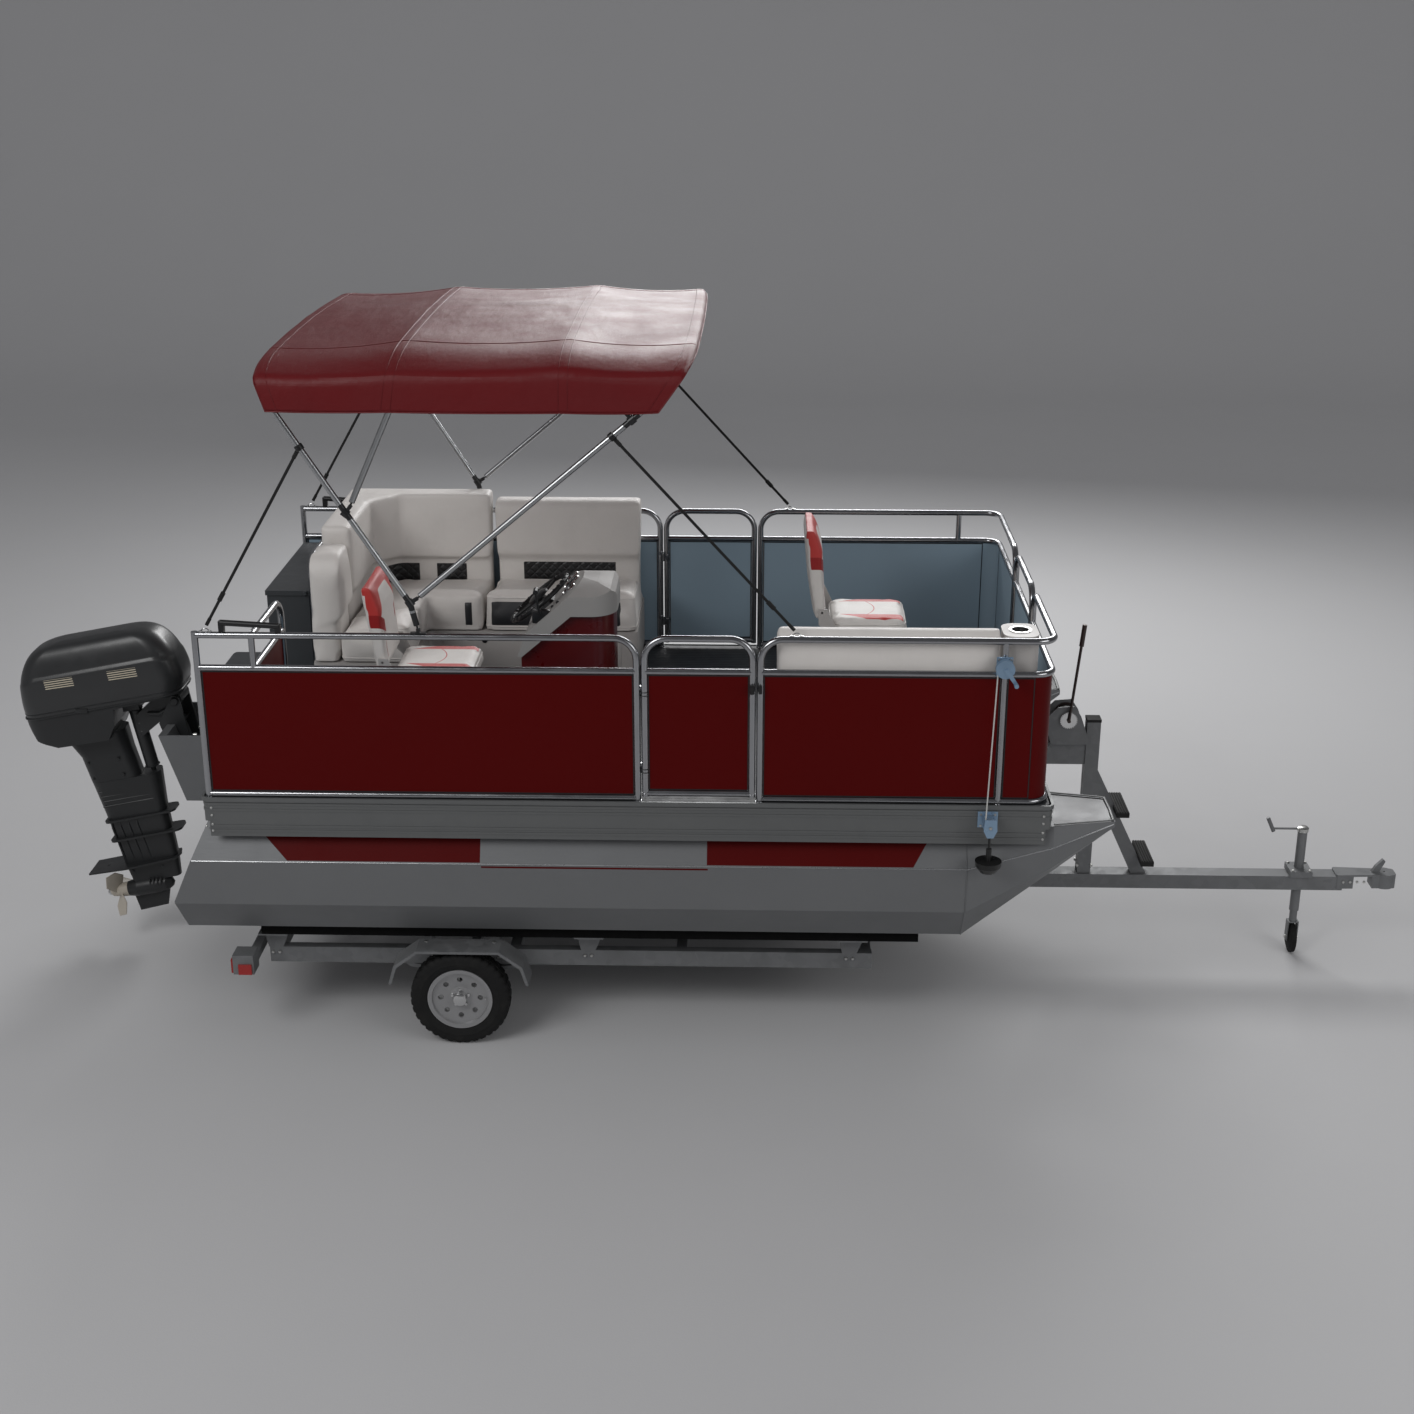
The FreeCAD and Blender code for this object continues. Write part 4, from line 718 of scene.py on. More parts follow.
# Lounge, bench and swivel seats
def rounded(lo, hi, r, n):
    """Plan points of a rounded rectangle, n to each corner."""
    for cx, cy, a0 in ((hi[0] - r, hi[1] - r, 0), (lo[0] + r, hi[1] - r, 90), (lo[0] + r, lo[1] + r, 180),
                       (hi[0] - r, lo[1] + r, 270)):
        for k in range(n):
            a = math.radians(a0 + 90 * k / (n - 1))
            yield cx + r * math.cos(a), cy + r * math.sin(a)


def top_loop(lo, hi, r, z, n=10):
    """A rounded rectangle in plan at height z."""
    out = [Vector((x, y, z)) for x, y in rounded(lo, hi, r, n)]
    for i in range(len(out) * 2, 0, -2):
        a, b = out[(i // 2 - 1)], out[(i // 2) % len(out)]
        if (b - a).length > 0.1:
            steps = int((b - a).length / 0.05)
            out[i // 2:i // 2] = [a.lerp(b, k / steps) for k in range(1, steps)]
    return out


def span(verts):
    lo = Vector([min(v[i] for v in verts) for i in range(3)])
    hi = Vector([max(v[i] for v in verts) for i in range(3)])
    return lo, hi


def sits(depth):
    return lambda co, lo, hi: co.z < lo.z + depth


def waterfall(co, lo, hi):
    """The seat's foam rises to a roll along its front edge and dips toward the backrest."""
    front = at(880, 480, 0)
    depth = max(co.y - front.y, front.x - co.x)
    dip = min(max(depth / 0.50, 0.0), 1.0)
    roll = math.exp(-((depth - 0.06) / 0.07) ** 2)
    share = max((co.z - lo.z) / (hi.z - lo.z), 0.0) ** 2
    return Vector((0, 0, share * (0.016 * roll - 0.060 * dip * dip * (3 - 2 * dip))))


def rolled_end(co, lo, hi):
    """The backrest's roll is full along its length and falls away in a curve at its free end."""
    end = max(1 - (co.y - lo.y) / 0.16, 0.0)
    share = max((co.z - lo.z) / (hi.z - lo.z), 0.0)
    return Vector((0, 0.05 * end ** 2 * share, -0.11 * end ** 2 * share))


def stuff_row(node, stem, depth, cap, shapes):
    """Stuffs each solid of a lounge node, from the forward one to the aft one."""
    row = []
    solids = sorted(loose_solids(node), key=lambda s: -span(s[0])[1].x)
    for place, shaped, (verts, faces) in zip(("main", "corner", "aft"), shapes, solids):
        obj = stuffed(f"{stem}_{place}", verts, faces, "vinyl", ROOT, 0.020, sits(depth), cap=cap,
                      shaped=shaped)
        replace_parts(obj, node)
        row.append((obj, span(verts)))
    return row


cushions = stuff_row("lounge_cushions", "lounge_cushion", 0.03, 0.016, (waterfall, waterfall, waterfall))
backs = stuff_row("lounge_backrests", "lounge_back", 0.02, 0.014, (None, None, rolled_end))

bench = []
for name in ("bench_cushion", "bench_backrest"):
    verts, faces = loose_solids(name)[0]
    obj = stuffed(name + "_vinyl", verts, faces, "vinyl", ROOT, 0.020, sits(0.03), cap=0.012)
    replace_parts(obj, name)
    bench.append((obj, span(verts)))

seat_spots = {"driver": (1078.0, HELM_Y, 400.0), "bow": (3400.0, 276.0, 470.0)}
seats = {}


def rounded_slab(x0, x1, y0, y1, r, z0, z1):
    loop = top_loop((x0, y0), (x1, y1), r, 0.0)
    count = len(loop)
    verts = [Vector((p.x, p.y, z)) for z in (z0, z1) for p in loop]
    faces = [tuple(reversed(range(count))), tuple(range(count, 2 * count))]
    faces += [(i, (i + 1) % count, count + (i + 1) % count, count + i) for i in range(count)]
    return verts, faces


for spot, (x, y, top) in seat_spots.items():
    a, b = at(x - 213, y - 223, top + 2), at(x + 233, y + 223, top + 80)
    verts, faces = rounded_slab(a.x, b.x, a.y, b.y, 0.07, a.z, b.z)
    pad = stuffed(spot + "_seat_pad", verts, faces, spot + "_pad", spot + "_seat", 0.012, sits(0.02),
                  cap=0.014)
    verts, faces = loose_solids(spot + "_seat_back")[0]
    back = stuffed(spot + "_back_pad", verts, faces, spot + "_back", spot + "_seat_back", 0.013,
                   lambda co, lo, hi: False, cap=0.010)
    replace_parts(pad, spot + "_seat")
    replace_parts(back, spot + "_seat_back")
    seats[spot] = (pad, back)

blow_up()


# Seams, piping and sewn panels go on after the foam is blown up
for obj, (lo, hi) in cushions + bench[:1]:
    tree = skin_of(obj)
    if "corner" in obj.name:
        continue
    loop = top_loop((lo.x + 0.012, lo.y + 0.012), (hi.x - 0.012, hi.y - 0.012), 0.035, hi.z - 0.012)
    low = top_loop((lo.x, lo.y), (hi.x, hi.y), 0.035, lo.z + 0.03)
    piping(obj.name + "_piping", tree, [loop, low], "vinyl", ROOT, 0.0032)


def lounge_panel(name, obj, x0, x1, y, z0, z1, material, nu):
    """A sewn panel on an upright face that looks to starboard, thrown on from y."""
    a, b = at(x0, y, z0), at(x1, y, z1)
    inset_pad(name, skin_of(obj), a, (b.x - a.x, 0, 0), (0, 0, b.z - a.z), (0, 1, 0), material, ROOT, nu, 12)


lounge_panel("lounge_main_panel", cushions[0][0], 1238, 2008, 430, 362, 513, "charcoal", 40)
lounge_panel("lounge_corner_panel", cushions[1][0], 1094, 1142, 430, 362, 513, "charcoal", 6)
quilts = [(0, 1372, 1944, 478, 598), (1, 566, 750, 466, 584), (1, 850, 1036, 466, 584)]
for k, (back, x0, x1, z0, z1) in enumerate(quilts):
    lounge_panel(f"lounge_quilt_{k}", backs[back][0], x0, x1, 880, z0, z1, "quilt", 36)

for spot, (x, y, top) in seat_spots.items():
    pad, back = seats[spot]
    tree = skin_of(pad)
    lo, hi = at(x - 213, y - 223, top), at(x + 233, y + 223, top + 80)
    loop = top_loop((lo.x, lo.y), (hi.x, hi.y), 0.06, hi.z - 0.022)
    piping(spot + "_pad_piping", tree, [loop], "vinyl", spot + "_seat", 0.003)
    shell = Parts()
    shell.brick(at(x - 170, y - 160, top - 26), at(x + 170, y + 160, top), 0.006)
    shell.lathe([(0.024, -0.061), (0.024, -0.024)], at(x, y, top), (0, 0, 1), 24)
    for s in (-1, 1):
        outline = [(x - 175, top - 26), (x - 140, top - 26), (x - 222, top + 150), (x - 272, top + 150),
                   (x - 268, top + 60)]
        ys = (y + s * 232 + 4, y + s * 232 - 4)
        shell.add([at(px, py, pz) for py in ys for px, pz in outline], bridge(2, len(outline)))
        shell.sweep([at(x - 250, y + s * 236, top + 130), at(x - 250, y + s * 204, top + 130)], 0.006, 12)
        shell.brick(at(x - 175, y + min(s * 236, s * 150), top - 26),
                    at(x - 120, y + max(s * 236, s * 150), top - 6), 0.002)
    shell.make(spot + "_seat_shell", "shell", spot + "_seat")

# Canopy: one stretched sheet over the four bows
HALF = 1.2405
BOWS = {"main": (425, 2190), "mid": (1075, 2235), "second": (1875, 2245), "front": (2465, 2225)}
BOW_XS = [x for x, _ in BOWS.values()]


def canopy_line(x):
    """At a station along the ridge: the hem's place along the boat, then ridge, shoulder and hem heights."""
    keys = [(392, 462, 2214, 2138, 1980), (425, 492, 2218, 2142, 1980), (1075, 1030, 2262, 2160, 1980),
            (1875, 1868, 2272, 2182, 1980), (2465, 2290, 2252, 2162, 1982), (2498, 2318, 2246, 2158, 1984)]
    for a, b in zip(keys, keys[1:]):
        if x <= b[0]:
            t = max((x - a[0]) / (b[0] - a[0]), 0)
            return [p + (q - p) * t for p, q in zip(a[1:], b[1:])]
    return keys[-1][1:]


def cut_corners(points, rounds=3):
    for _ in range(rounds):
        out = [points[0]]
        for a, b in zip(points, points[1:]):
            out += [(a[0] * 0.75 + b[0] * 0.25, a[1] * 0.75 + b[1] * 0.25),
                    (a[0] * 0.25 + b[0] * 0.75, a[1] * 0.25 + b[1] * 0.75)]
        points = out + [points[-1]]
    return points


def even(points, count):
    lengths = [0.0]
    for a, b in zip(points, points[1:]):
        lengths.append(lengths[-1] + math.dist(a, b))
    out = []
    k = 0
    for i in range(count):
        want = lengths[-1] * i / (count - 1)
        while k < len(points) - 2 and lengths[k + 1] < want:
            k += 1
        t = (want - lengths[k]) / max(lengths[k + 1] - lengths[k], 1e-9)
        out.append(tuple(p + (q - p) * t for p, q in zip(points[k], points[k + 1])))
    return out


def cloth_section(x, count=41):
    _, top, shoulder, hem = (v / 1000 for v in canopy_line(x))
    rise = top - shoulder
    half = cut_corners([(HALF, hem), (HALF + 0.002, (hem + shoulder) / 2), (HALF + 0.003, shoulder - 0.030),
                        (HALF - 0.002, shoulder - 0.004), (1.205, shoulder + 0.012),
                        (1.08, shoulder + rise * 0.62), (0.93, top - 0.010), (0.45, top + 0.004),
                        (0.0, top + 0.008)])
    return even(half, count)


def bay_sag(x):
    for a, b in zip(BOW_XS, BOW_XS[1:]):
        if a <= x <= b:
            return math.sin(math.pi * (x - a) / (b - a)) ** 0.8
    return 0.0


xs = [392, 394, 398, 404, 412, 425]
for a, b in zip(BOW_XS, BOW_XS[1:]):
    xs += [a + (b - a) * k / 12 for k in range(1, 13)]
xs += [2478, 2486, 2492, 2496, 2498]
rows = []
for x in xs:
    x_hem, top, _, hem = canopy_line(x)
    sag = bay_sag(x)
    edge = max(0.0, 412 - x) / 20 + max(0.0, x - 2478) / 20
    row = []
    for k, (y, z) in enumerate(cloth_section(x)):
        share = k / 40
        deep = sag * (0.016 * math.sin(math.pi * min(share * 1.15, 1)) + 0.004)
        ripple = 0.0016 * math.sin(x * 0.021 + y * 7) * math.sin(x * 0.013 + share * 9)
        drop = 0.022 * edge ** 2 * min(share * 3, 1)
        along = x_hem + (x - x_hem) * (z * 1000 - hem) / (top - hem)
        row.append((along, y, z - deep - drop + ripple * share))
    full = row + [(along, -y, z) for along, y, z in reversed(row[:-1])]
    rows.append([Vector((along / 1000, y, z)) + SHIFT for along, y, z in full])
wide = len(rows[0])
verts = [p for row in rows for p in row]
canopy = piece("bimini_cloth", verts, grid(len(rows), wide), "canvas", None)
with_modifier(canopy, "SUBSURF", levels=1, render_levels=1)
cloth_tree = skin_of(canopy)
with_modifier(canopy, "SOLIDIFY", thickness=0.0016, offset=0.0)
canopy.data.polygons.foreach_set("use_smooth", [True] * len(canopy.data.polygons))
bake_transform(canopy)
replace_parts(canopy, "bimini_canopy")

trim = Parts()
border = [row[0] for row in rows] + rows[-1][1:] + [row[-1] for row in reversed(rows[:-1])] \
    + list(reversed(rows[0][1:-1]))
trim.sweep(border, 0.0035, 6, True)
seams = piece("bimini_hem", trim.verts, trim.faces, "canvas", None)
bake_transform(seams)
bands = Parts()


def on_cloth(points):
    """The points laid on the canopy's outer face."""
    line = []
    for p in points:
        spot, normal, _, _ = cloth_tree.find_nearest(p)
        up = normal if normal.z > -0.2 else -normal
        line.append(spot + up * 0.0012)
    return line


for bow in BOW_XS:
    row = min(range(len(xs)), key=lambda i: abs(xs[i] - bow))
    for shift in (-0.022, 0.022) if bow in BOW_XS[1:3] else ((0.026,) if bow == BOW_XS[0] else (-0.026,)):
        bands.sweep(on_cloth(p + Vector((shift, 0, 0)) for p in rows[row]), 0.0018, 5)
for share in (-0.62, 0.62):
    place = int((share + 1) / 2 * (wide - 1))
    bands.sweep(on_cloth(row[place] for row in rows[3:-3]), 0.0016, 5)
stitches = piece("bimini_seams", bands.verts, bands.faces, "canvas", None)
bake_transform(stitches)

for name, (x, z) in BOWS.items():
    sleeve = Parts()
    sleeve.sweep([at(x, y, z) for y in range(-740, 741, 74)], 0.0168, 14)
    sleeve.make("bimini_sleeve_" + name, "canvas", "bimini_" + name)

# Straps from the bows to the rails
straps = {"front": ((2097, 1867), (2985, 898), "bimini_front", "bimini_front_fold", (1125.4, 1055.3)),
          "rear": ((607, 1805), (75, 898), "bimini_main", "bimini_swing", (1095, 1036))}
for kind, (top, foot, body, joint, leg) in straps.items():
    for side, s in (("starboard", -1), ("port", 1)):
        a, b = at(top[0], s * RAIL_Y, top[1]), at(foot[0], s * RAIL_Y, foot[1])
        along = (b - a).normalized()
        strap = Parts()
        reach = (b - a).length
        webbing = (((0.020, 0.3, 0.6, 0.9, reach - 0.045), 0.0012, 6.2), ((0.020, 0.060), 0.0028, 3.6),
                   ((reach - 0.215, reach - 0.165), 0.0042, 2.8),
                   ((reach - 0.06, reach - 0.018), 0.0038, 2.4))
        for places, thick, flat in webbing:
            strap.sweep([a + along * d for d in places], thick, 8, False, flat)
        web = strap.make(f"strap_{kind}_{side}", "webbing", body)
        tuple(a)
        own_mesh(web)
        clamp = Parts()
        leg_line = a - at(leg[0], s * RAIL_Y, leg[1])
        clamp.lathe([(0.0152, -0.015), (0.0205, -0.014), (0.0215, 0.0), (0.0205, 0.014), (0.0152, 0.015)], a,
                    leg_line, 24, False)
        clamp.stud(a + Vector((0, s * 0.020, 0)), (0, s, 0), 0.007, 0.006, 12)
        clamp.make(f"strap_clamp_{kind}_{side}", "black", body)
        eye = Parts()
        for dx in (-0.022, 0.022):
            eye.lathe([(0.011, -0.0005), (0.011, 0.003), (0.005, 0.005)], b + Vector((dx, 0, -0.0165)),
                      (0, 0, 1), 12)
        hoop = [b + Vector((dx, 0, dz)) for dx, dz in ((-0.02, -0.012), (-0.008, -0.002), (0.008, -0.002),
                                                       (0.02, -0.012))]
        eye.sweep(curve_through(hoop, 5), 0.0028, 8)
        eye.make(f"strap_eye_{kind}_{side}", "steel", ROOT)


# Wheels: tread, lug nuts, dust cap and valve
def tread_tyre(side, name, body):
    half = [(0.1726, 0.044), (0.177, 0.053), (0.190, 0.0575), (0.206, 0.0605), (0.209, 0.062),
            (0.213, 0.0605), (0.228, 0.062), (0.244, 0.0590), (0.2555, 0.0525), (0.2625, 0.045),
            (0.2640, 0.039), (0.2645, 0.022), (0.2575, 0.0205), (0.2575, 0.0150), (0.2648, 0.0135),
            (0.2650, 0.0030), (0.2600, 0.0020)]
    profile = half + [(r, -w) for r, w in reversed(half)]
    centre = at(WHEEL_X, side * WHEEL_Y, WHEEL_Z)
    steps = 216
    verts = []
    for r, w in profile:
        for k, (c, s) in enumerate(around(steps)):
            block = (k + (3 if w > 0 else 0)) % 6
            cut = 0.0
            if 0.0205 < abs(w) < 0.053 and r > 0.25 and block < 2:
                cut = 0.006
            zig = 0.0016 * (1 if k % 12 < 6 else -1) if 0.005 < abs(w) < 0.0225 else 0.0
            verts.append(centre + Vector(((r - cut) * c, w + zig, (r - cut) * s)))
    faces = bridge(len(profile), steps, True)
    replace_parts(piece(name + "_tread", verts, faces, "tyre", body), "tyre_" + name)


for side, name in ((-1, "starboard"), (1, "port")):
    body = name + "_wheel"
    tread_tyre(side, name, body)
    parts = Parts()
    for k in range(5):
        a = math.radians(72 * k + 20)
        parts.stud(at(WHEEL_X + 46 * math.cos(a), side * 1165, WHEEL_Z + 46 * math.sin(a)), (0, side, 0),
                   0.0095, 0.015)
    parts.lathe([(0.036, 0.056), (0.034, 0.061), (0.020, 0.066), (0.004, 0.067)],
                at(WHEEL_X, side * WHEEL_Y, WHEEL_Z), (0, side, 0), 32)
    parts.sweep([at(WHEEL_X + 128, side * 1163, WHEEL_Z), at(WHEEL_X + 134, side * 1186, WHEEL_Z)], 0.004, 8)
    parts.make(name + "_lug_nuts", "steel", body)


# Rails: weld beads, dark strips round the panels as painted shadow lines, hinge rings and latches
def ring(parts, centre, axis, r, thick=0.0022, sides=20):
    axis = Vector(axis).normalized()
    u = axis.orthogonal().normalized()
    v = axis.cross(u)
    parts.sweep([Vector(centre) + (u * c + v * s) * r for c, s in around(sides)], thick, 6, True)


welds = Parts()
for s in (-1, 1):
    for z in (693, 17.3):
        for x in (38, 2179, 2827, 3989, 4023):
            ring(welds, at(x, s * RAIL_Y, z), (1, 0, 0), 0.0163)
    for z in (693, 863.5):
        ring(welds, at(300, s * 1207, z), (0, 1, 0), 0.0165)
    for x, foot in ((20, 1), (2197, 1), (2809, 1), (4006, 0 if s > 0 else 1)):
        if foot:
            ring(welds, at(x, s * RAIL_Y, 2), (0, 0, 1), 0.0178, 0.0035)
welds.make("rail_welds", "rail", ROOT)


def panel_edge(parts, a, b, z0, z1):
    """A slim dark strip where a flat panel meets its tubes, between two plan points: a painted shadow line.
    """
    a, b = Vector((a[0], a[1], 0)), Vector((b[0], b[1], 0))
    along = (b - a).normalized()
    side = Vector((-along.y, along.x, 0)) * 3.6

    def strip(p, q, low, high):
        corners = [p - side, q - side, q + side, p + side]
        verts = [at(c.x, c.y, z) for z in (low, high) for c in corners]
        parts.add(verts, bridge(2, 4))

    strip(a, a + along * 5, z0, z1)
    strip(b - along * 5, b, z0, z1)
    strip(a + along * 5, b - along * 5, z0, z0 + 5)
    strip(a + along * 5, b - along * 5, z1 - 5, z1)


trim = Parts()
fence = [((x0, y), (x1, y)) for x0, x1, y in (
    (37.5, 2179.5, -RAIL_Y), (2826.5, 3988.5, -RAIL_Y), (4023.5, 4158, -RAIL_Y), (37.5, 2179.5, RAIL_Y),
    (2826.5, 4158, RAIL_Y))]
fence += [((x, y0), (x, y1)) for x, y0, y1 in (
    (BOW_X, -1134, -402.5), (BOW_X, 1134, 402.5), (300, -1207, -627.5), (300, 147.5, 1207))]
# Painted shadow: a dark strip round each fence panel where it meets the rails.
for a, b in fence:
    panel_edge(trim, a, b, 34.8, 675.5)
trim.make("panel_shadow_lines", "black", ROOT)
side_latch = ((-13, 10), (12.5, 33.5), -2, (34.5, 41.5, 36.5))
bow_latch = ((-15, 7), (14, 32), -4, (33, 38, 34))
for name, corner, along, out, wide, latch in (
        ("gate_starboard", (2236, -RAIL_Y), (1, 0), (0, -1), 534, side_latch),
        ("gate_port", (2236, RAIL_Y), (1, 0), (0, 1), 534, side_latch),
        ("gate_bow", (BOW_X, -346), (0, 1), (1, 0), 692, bow_latch)):
    def place(run, off, z):
        """A place on the gate, by the way along it from the hinge post and the way out of it."""
        return at(corner[0] + along[0] * run + out[0] * off, corner[1] + along[1] * run + out[1] * off, z)

    def flat(run):
        return corner[0] + along[0] * run, corner[1] + along[1] * run

    runs, offs, lever, lever_offs = latch
    feet, dark = Parts(), Parts()
    # Painted shadow: a dark strip round the gate panel where it meets its frame; the hinge rings and latch in
    # the same mesh are real black parts.
    panel_edge(dark, flat(17.5), flat(wide - 17.5), 62.5, 675.5)
    for run in (0, wide):
        ring(feet, place(run, 0, 44), (0, 0, 1), 0.0172, 0.0016)
    feet.make(name + "_foot_rings", "rail", name)
    for z in (150, 560):
        for lift in (8, 26):
            ring(dark, place(0, 0, z + lift), (0, 0, 1), 0.0180, 0.0024)
        dark.stud(place(-19.5, -22, z), (0, 0, -1), 0.0065, 0.004, 12)
    a, b = place(wide + runs[0], offs[0], 586), place(wide + runs[1], offs[1], 634)
    dark.brick([min(p, q) for p, q in zip(a, b)], [max(p, q) for p, q in zip(a, b)], 0.003)
    dark.sweep([place(wide + lever, off, z) for off, z in zip(lever_offs, (622, 600, 590))], 0.004, 8)
    dark.make(name + "_latch_and_shadow_line", "black", name)
catches = Parts()
for s in (-1, 1):
    y0, y1 = sorted((s * 1238, s * 1256))
    catches.brick(at(2800, y0, 588), at(2818, y1, 632), 0.003)
catches.brick(at(4264, 376, 588), at(4280, 394, 632), 0.003)
catches.make("gate_catches", "black", ROOT)


# Skirt corners and pontoon seams
corner_bolts = Parts()
for x, sx in ((-17, -1), (4285, 1)):
    for sy in (-1, 1):
        for z in (-52, -92, -142, -178):
            corner_bolts.stud(at(x + sx * 0.2, sy * 1192, z), (sx, 0, 0), 0.0065, 0.0045, 12)
            corner_bolts.stud(at(x - sx * 46, sy * 1250.2, z), (0, sy, 0), 0.0065, 0.0045, 12)
corner_bolts.make("skirt_corner_bolts", "bolt", ROOT)

seams, chines = Parts(), Parts()
for s in (-1, 1):
    for t in (-1, 1):
        section = ((150.6, -128), (265.6, CHINE_Z), (250.6, -600), (110.6, -795.4))
        seams.sweep([at(3868, s * HULL_Y + t * half, z) for half, z in section], 0.0030, 6)
        chine = ((-100, 265.6, CHINE_Z), (3870, 265.6, CHINE_Z), (4300, 245.6, -235), (4612, 152.4, -141))
        chines.sweep([at(x, s * HULL_Y + t * half, z) for x, half, z in chine], 0.0034, 6)
seams.make("pontoon_seams", "hull", ROOT)
chines.make("pontoon_chine_beads", "chine", ROOT)

noses = Parts()
brim = Parts()
for s in (-1, 1):
    rows = [(4302, 214), (4400, 193), (4500, 172), (4606, 149)]
    verts = [at(x, s * HULL_Y + t * h, z)
             for x, h in rows for t, z in ((-1, -124.6), (0, -121.5), (1, -124.6))]
    noses.add(verts, grid(len(rows), 3))
    for t in (-1, 1):
        brim.sweep([at(x, s * HULL_Y + t * h, -118) for x, h in rows], 0.0075, 8, flat=0.45)
    tip = ((4610, -149, -118), (4614, 0, -117), (4610, 149, -118))
    brim.sweep([at(x, s * HULL_Y + y, z) for x, y, z in tip], 0.0075, 8, flat=0.45)
noses.make("pontoon_nose_decks", "nose", ROOT)
brim.make("pontoon_nose_rims", "skirt", ROOT)

# Helm: hub, gauges, throttle and wheel grips
lean = math.radians(39)
axis = Vector((-math.sin(lean), 0, math.cos(lean)))
uphill = Vector((math.cos(lean), 0, math.sin(lean)))
hub = at(1640, HELM_Y, 820)
grip = Parts()
grip.lathe([(0.062, 0.006), (0.060, 0.018), (0.044, 0.026), (0.018, 0.029), (0.002, 0.0295)], hub, axis, 40)
for k in range(30):
    a = math.radians(12 * k)
    out = uphill * math.cos(a) + Vector((0, 1, 0)) * math.sin(a)
    grip.sweep([hub + out * 0.1715 + axis * 0.002, hub + out * 0.1745 + axis * 0.0125,
                hub + out * 0.185 + axis * 0.0145, hub + out * 0.1955 + axis * 0.0125,
                hub + out * 0.1985 + axis * 0.002], 0.0022, 6)
grip.make("helm_wheel_hub", "black", "helm_wheel")

slope = Vector((291, 0, 255)).normalized()
rise = Vector((-slope.z, 0, slope.x))
bezels, faces_of, lights = Parts(), Parts(), Parts()
face_at = at(1548, 0, 671.1)
for y, along, r in ((HELM_Y, 0.352, 0.046), (-536, 0.345, 0.036), (-312, 0.345, 0.036)):
    c = face_at + slope * along + Vector((0, y / 1000, 0))
    bezel = [(r + 0.008, -0.004), (r + 0.008, 0.007), (r + 0.004, 0.011), (r, 0.011), (r - 0.002, 0.005)]
    bezels.lathe(bezel, c, rise, 36, False)
    faces_of.lathe([(r, 0.002), (r * 0.9, 0.005), (0.002, 0.0055)], c, rise, 36)
    for k in range(11):
        a = math.radians(-30 + 24 * k)
        out = slope * math.sin(a) + Vector((0, 1, 0)) * math.cos(a)
        lights.sweep([c + out * r * 0.72 + rise * 0.0058, c + out * r * 0.86 + rise * 0.0055], 0.0009, 4)
    pivot = c + rise * 0.0072
    lights.sweep([pivot, pivot + (slope * 0.8 - Vector((0, 0.6, 0))) * r * 0.7], 0.0010, 4)
for y in (-600, -255):
    for k in range(3):
        c = face_at + slope * (0.20 + 0.035 * k) + Vector((0, y / 1000, 0))
        faces_of.lathe([(0.010, -0.002), (0.010, 0.003), (0.006, 0.009), (0.001, 0.010)], c, rise, 16)
bezels.make("gauge_bezels", "steel", ROOT)
faces_of.make("gauge_faces", "black", ROOT)
lights.make("gauge_ticks", "dash", ROOT)

column = Parts()
c = at(1682, HELM_Y, 768)
for size, lift in ((1.0, 0.0), (0.86, 0.030)):
    octagon = ((-1, -0.7), (-1, 0.7), (-0.7, 1), (0.7, 1), (1, 0.7), (1, -0.7), (0.7, -1), (-0.7, -1))
    column.verts += [c + rise * lift + slope * (0.066 * size * px) + Vector((0, 0.070 * size * py, 0))
                     for px, py in octagon]
column.faces += bridge(2, 8, capped=False) + [tuple(range(8, 16))]
column.make("helm_column_housing", "black", ROOT, False)

throttle = Parts()
c = face_at + slope * 0.16 + Vector((0, -0.655, 0))
throttle.brick(c + Vector((-0.045, -0.022, -0.02)), c + Vector((0.05, 0.022, 0.05)), 0.008)
arm = ((0.0, -0.026, 0.03), (-0.01, -0.030, 0.07), (-0.02, -0.030, 0.15))
throttle.sweep([c + Vector(way) for way in arm], 0.0065, 10)
throttle.sweep([c + Vector((-0.02, -0.046, 0.156)), c + Vector((-0.02, 0.002, 0.156))], [0.013, 0.015], 14)
throttle.make("throttle_box", "black", ROOT)

# Furniture: access doors, vents and latches
doors, knobs = Parts(), Parts()
for y0, way, bays in ((486.5, -1, ((960, 1450), (1500, 2000))), (-640.5, 1, ((2920, 3420), (3460, 3960)))):
    for x0, x1 in bays:
        doors.brick(at(x0, y0, 95), at(x1, y0 + 4, 300), 0.0015)
        knobs.lathe([(0.016, 0), (0.016, 0.003), (0.011, 0.005), (0.004, 0.0055)],
                    at((x0 + x1) / 2, y0 if way < 0 else y0 + 4, 275), (0, way, 0), 20)
doors.make("seat_base_doors", "shell", ROOT)
for k in range(7):
    knobs.brick(at(1599, -560, 330 + 22 * k), at(1642, -370, 338 + 22 * k), 0.002)
for k in range(6):
    knobs.brick(at(268.2, 560, 420 + 24 * k), at(271.5, 800, 430 + 24 * k), 0.001)
knobs.brick(at(272, 610, 643), at(281, 670, 662), 0.003)
knobs.make("base_latches_and_vents", "black", ROOT)

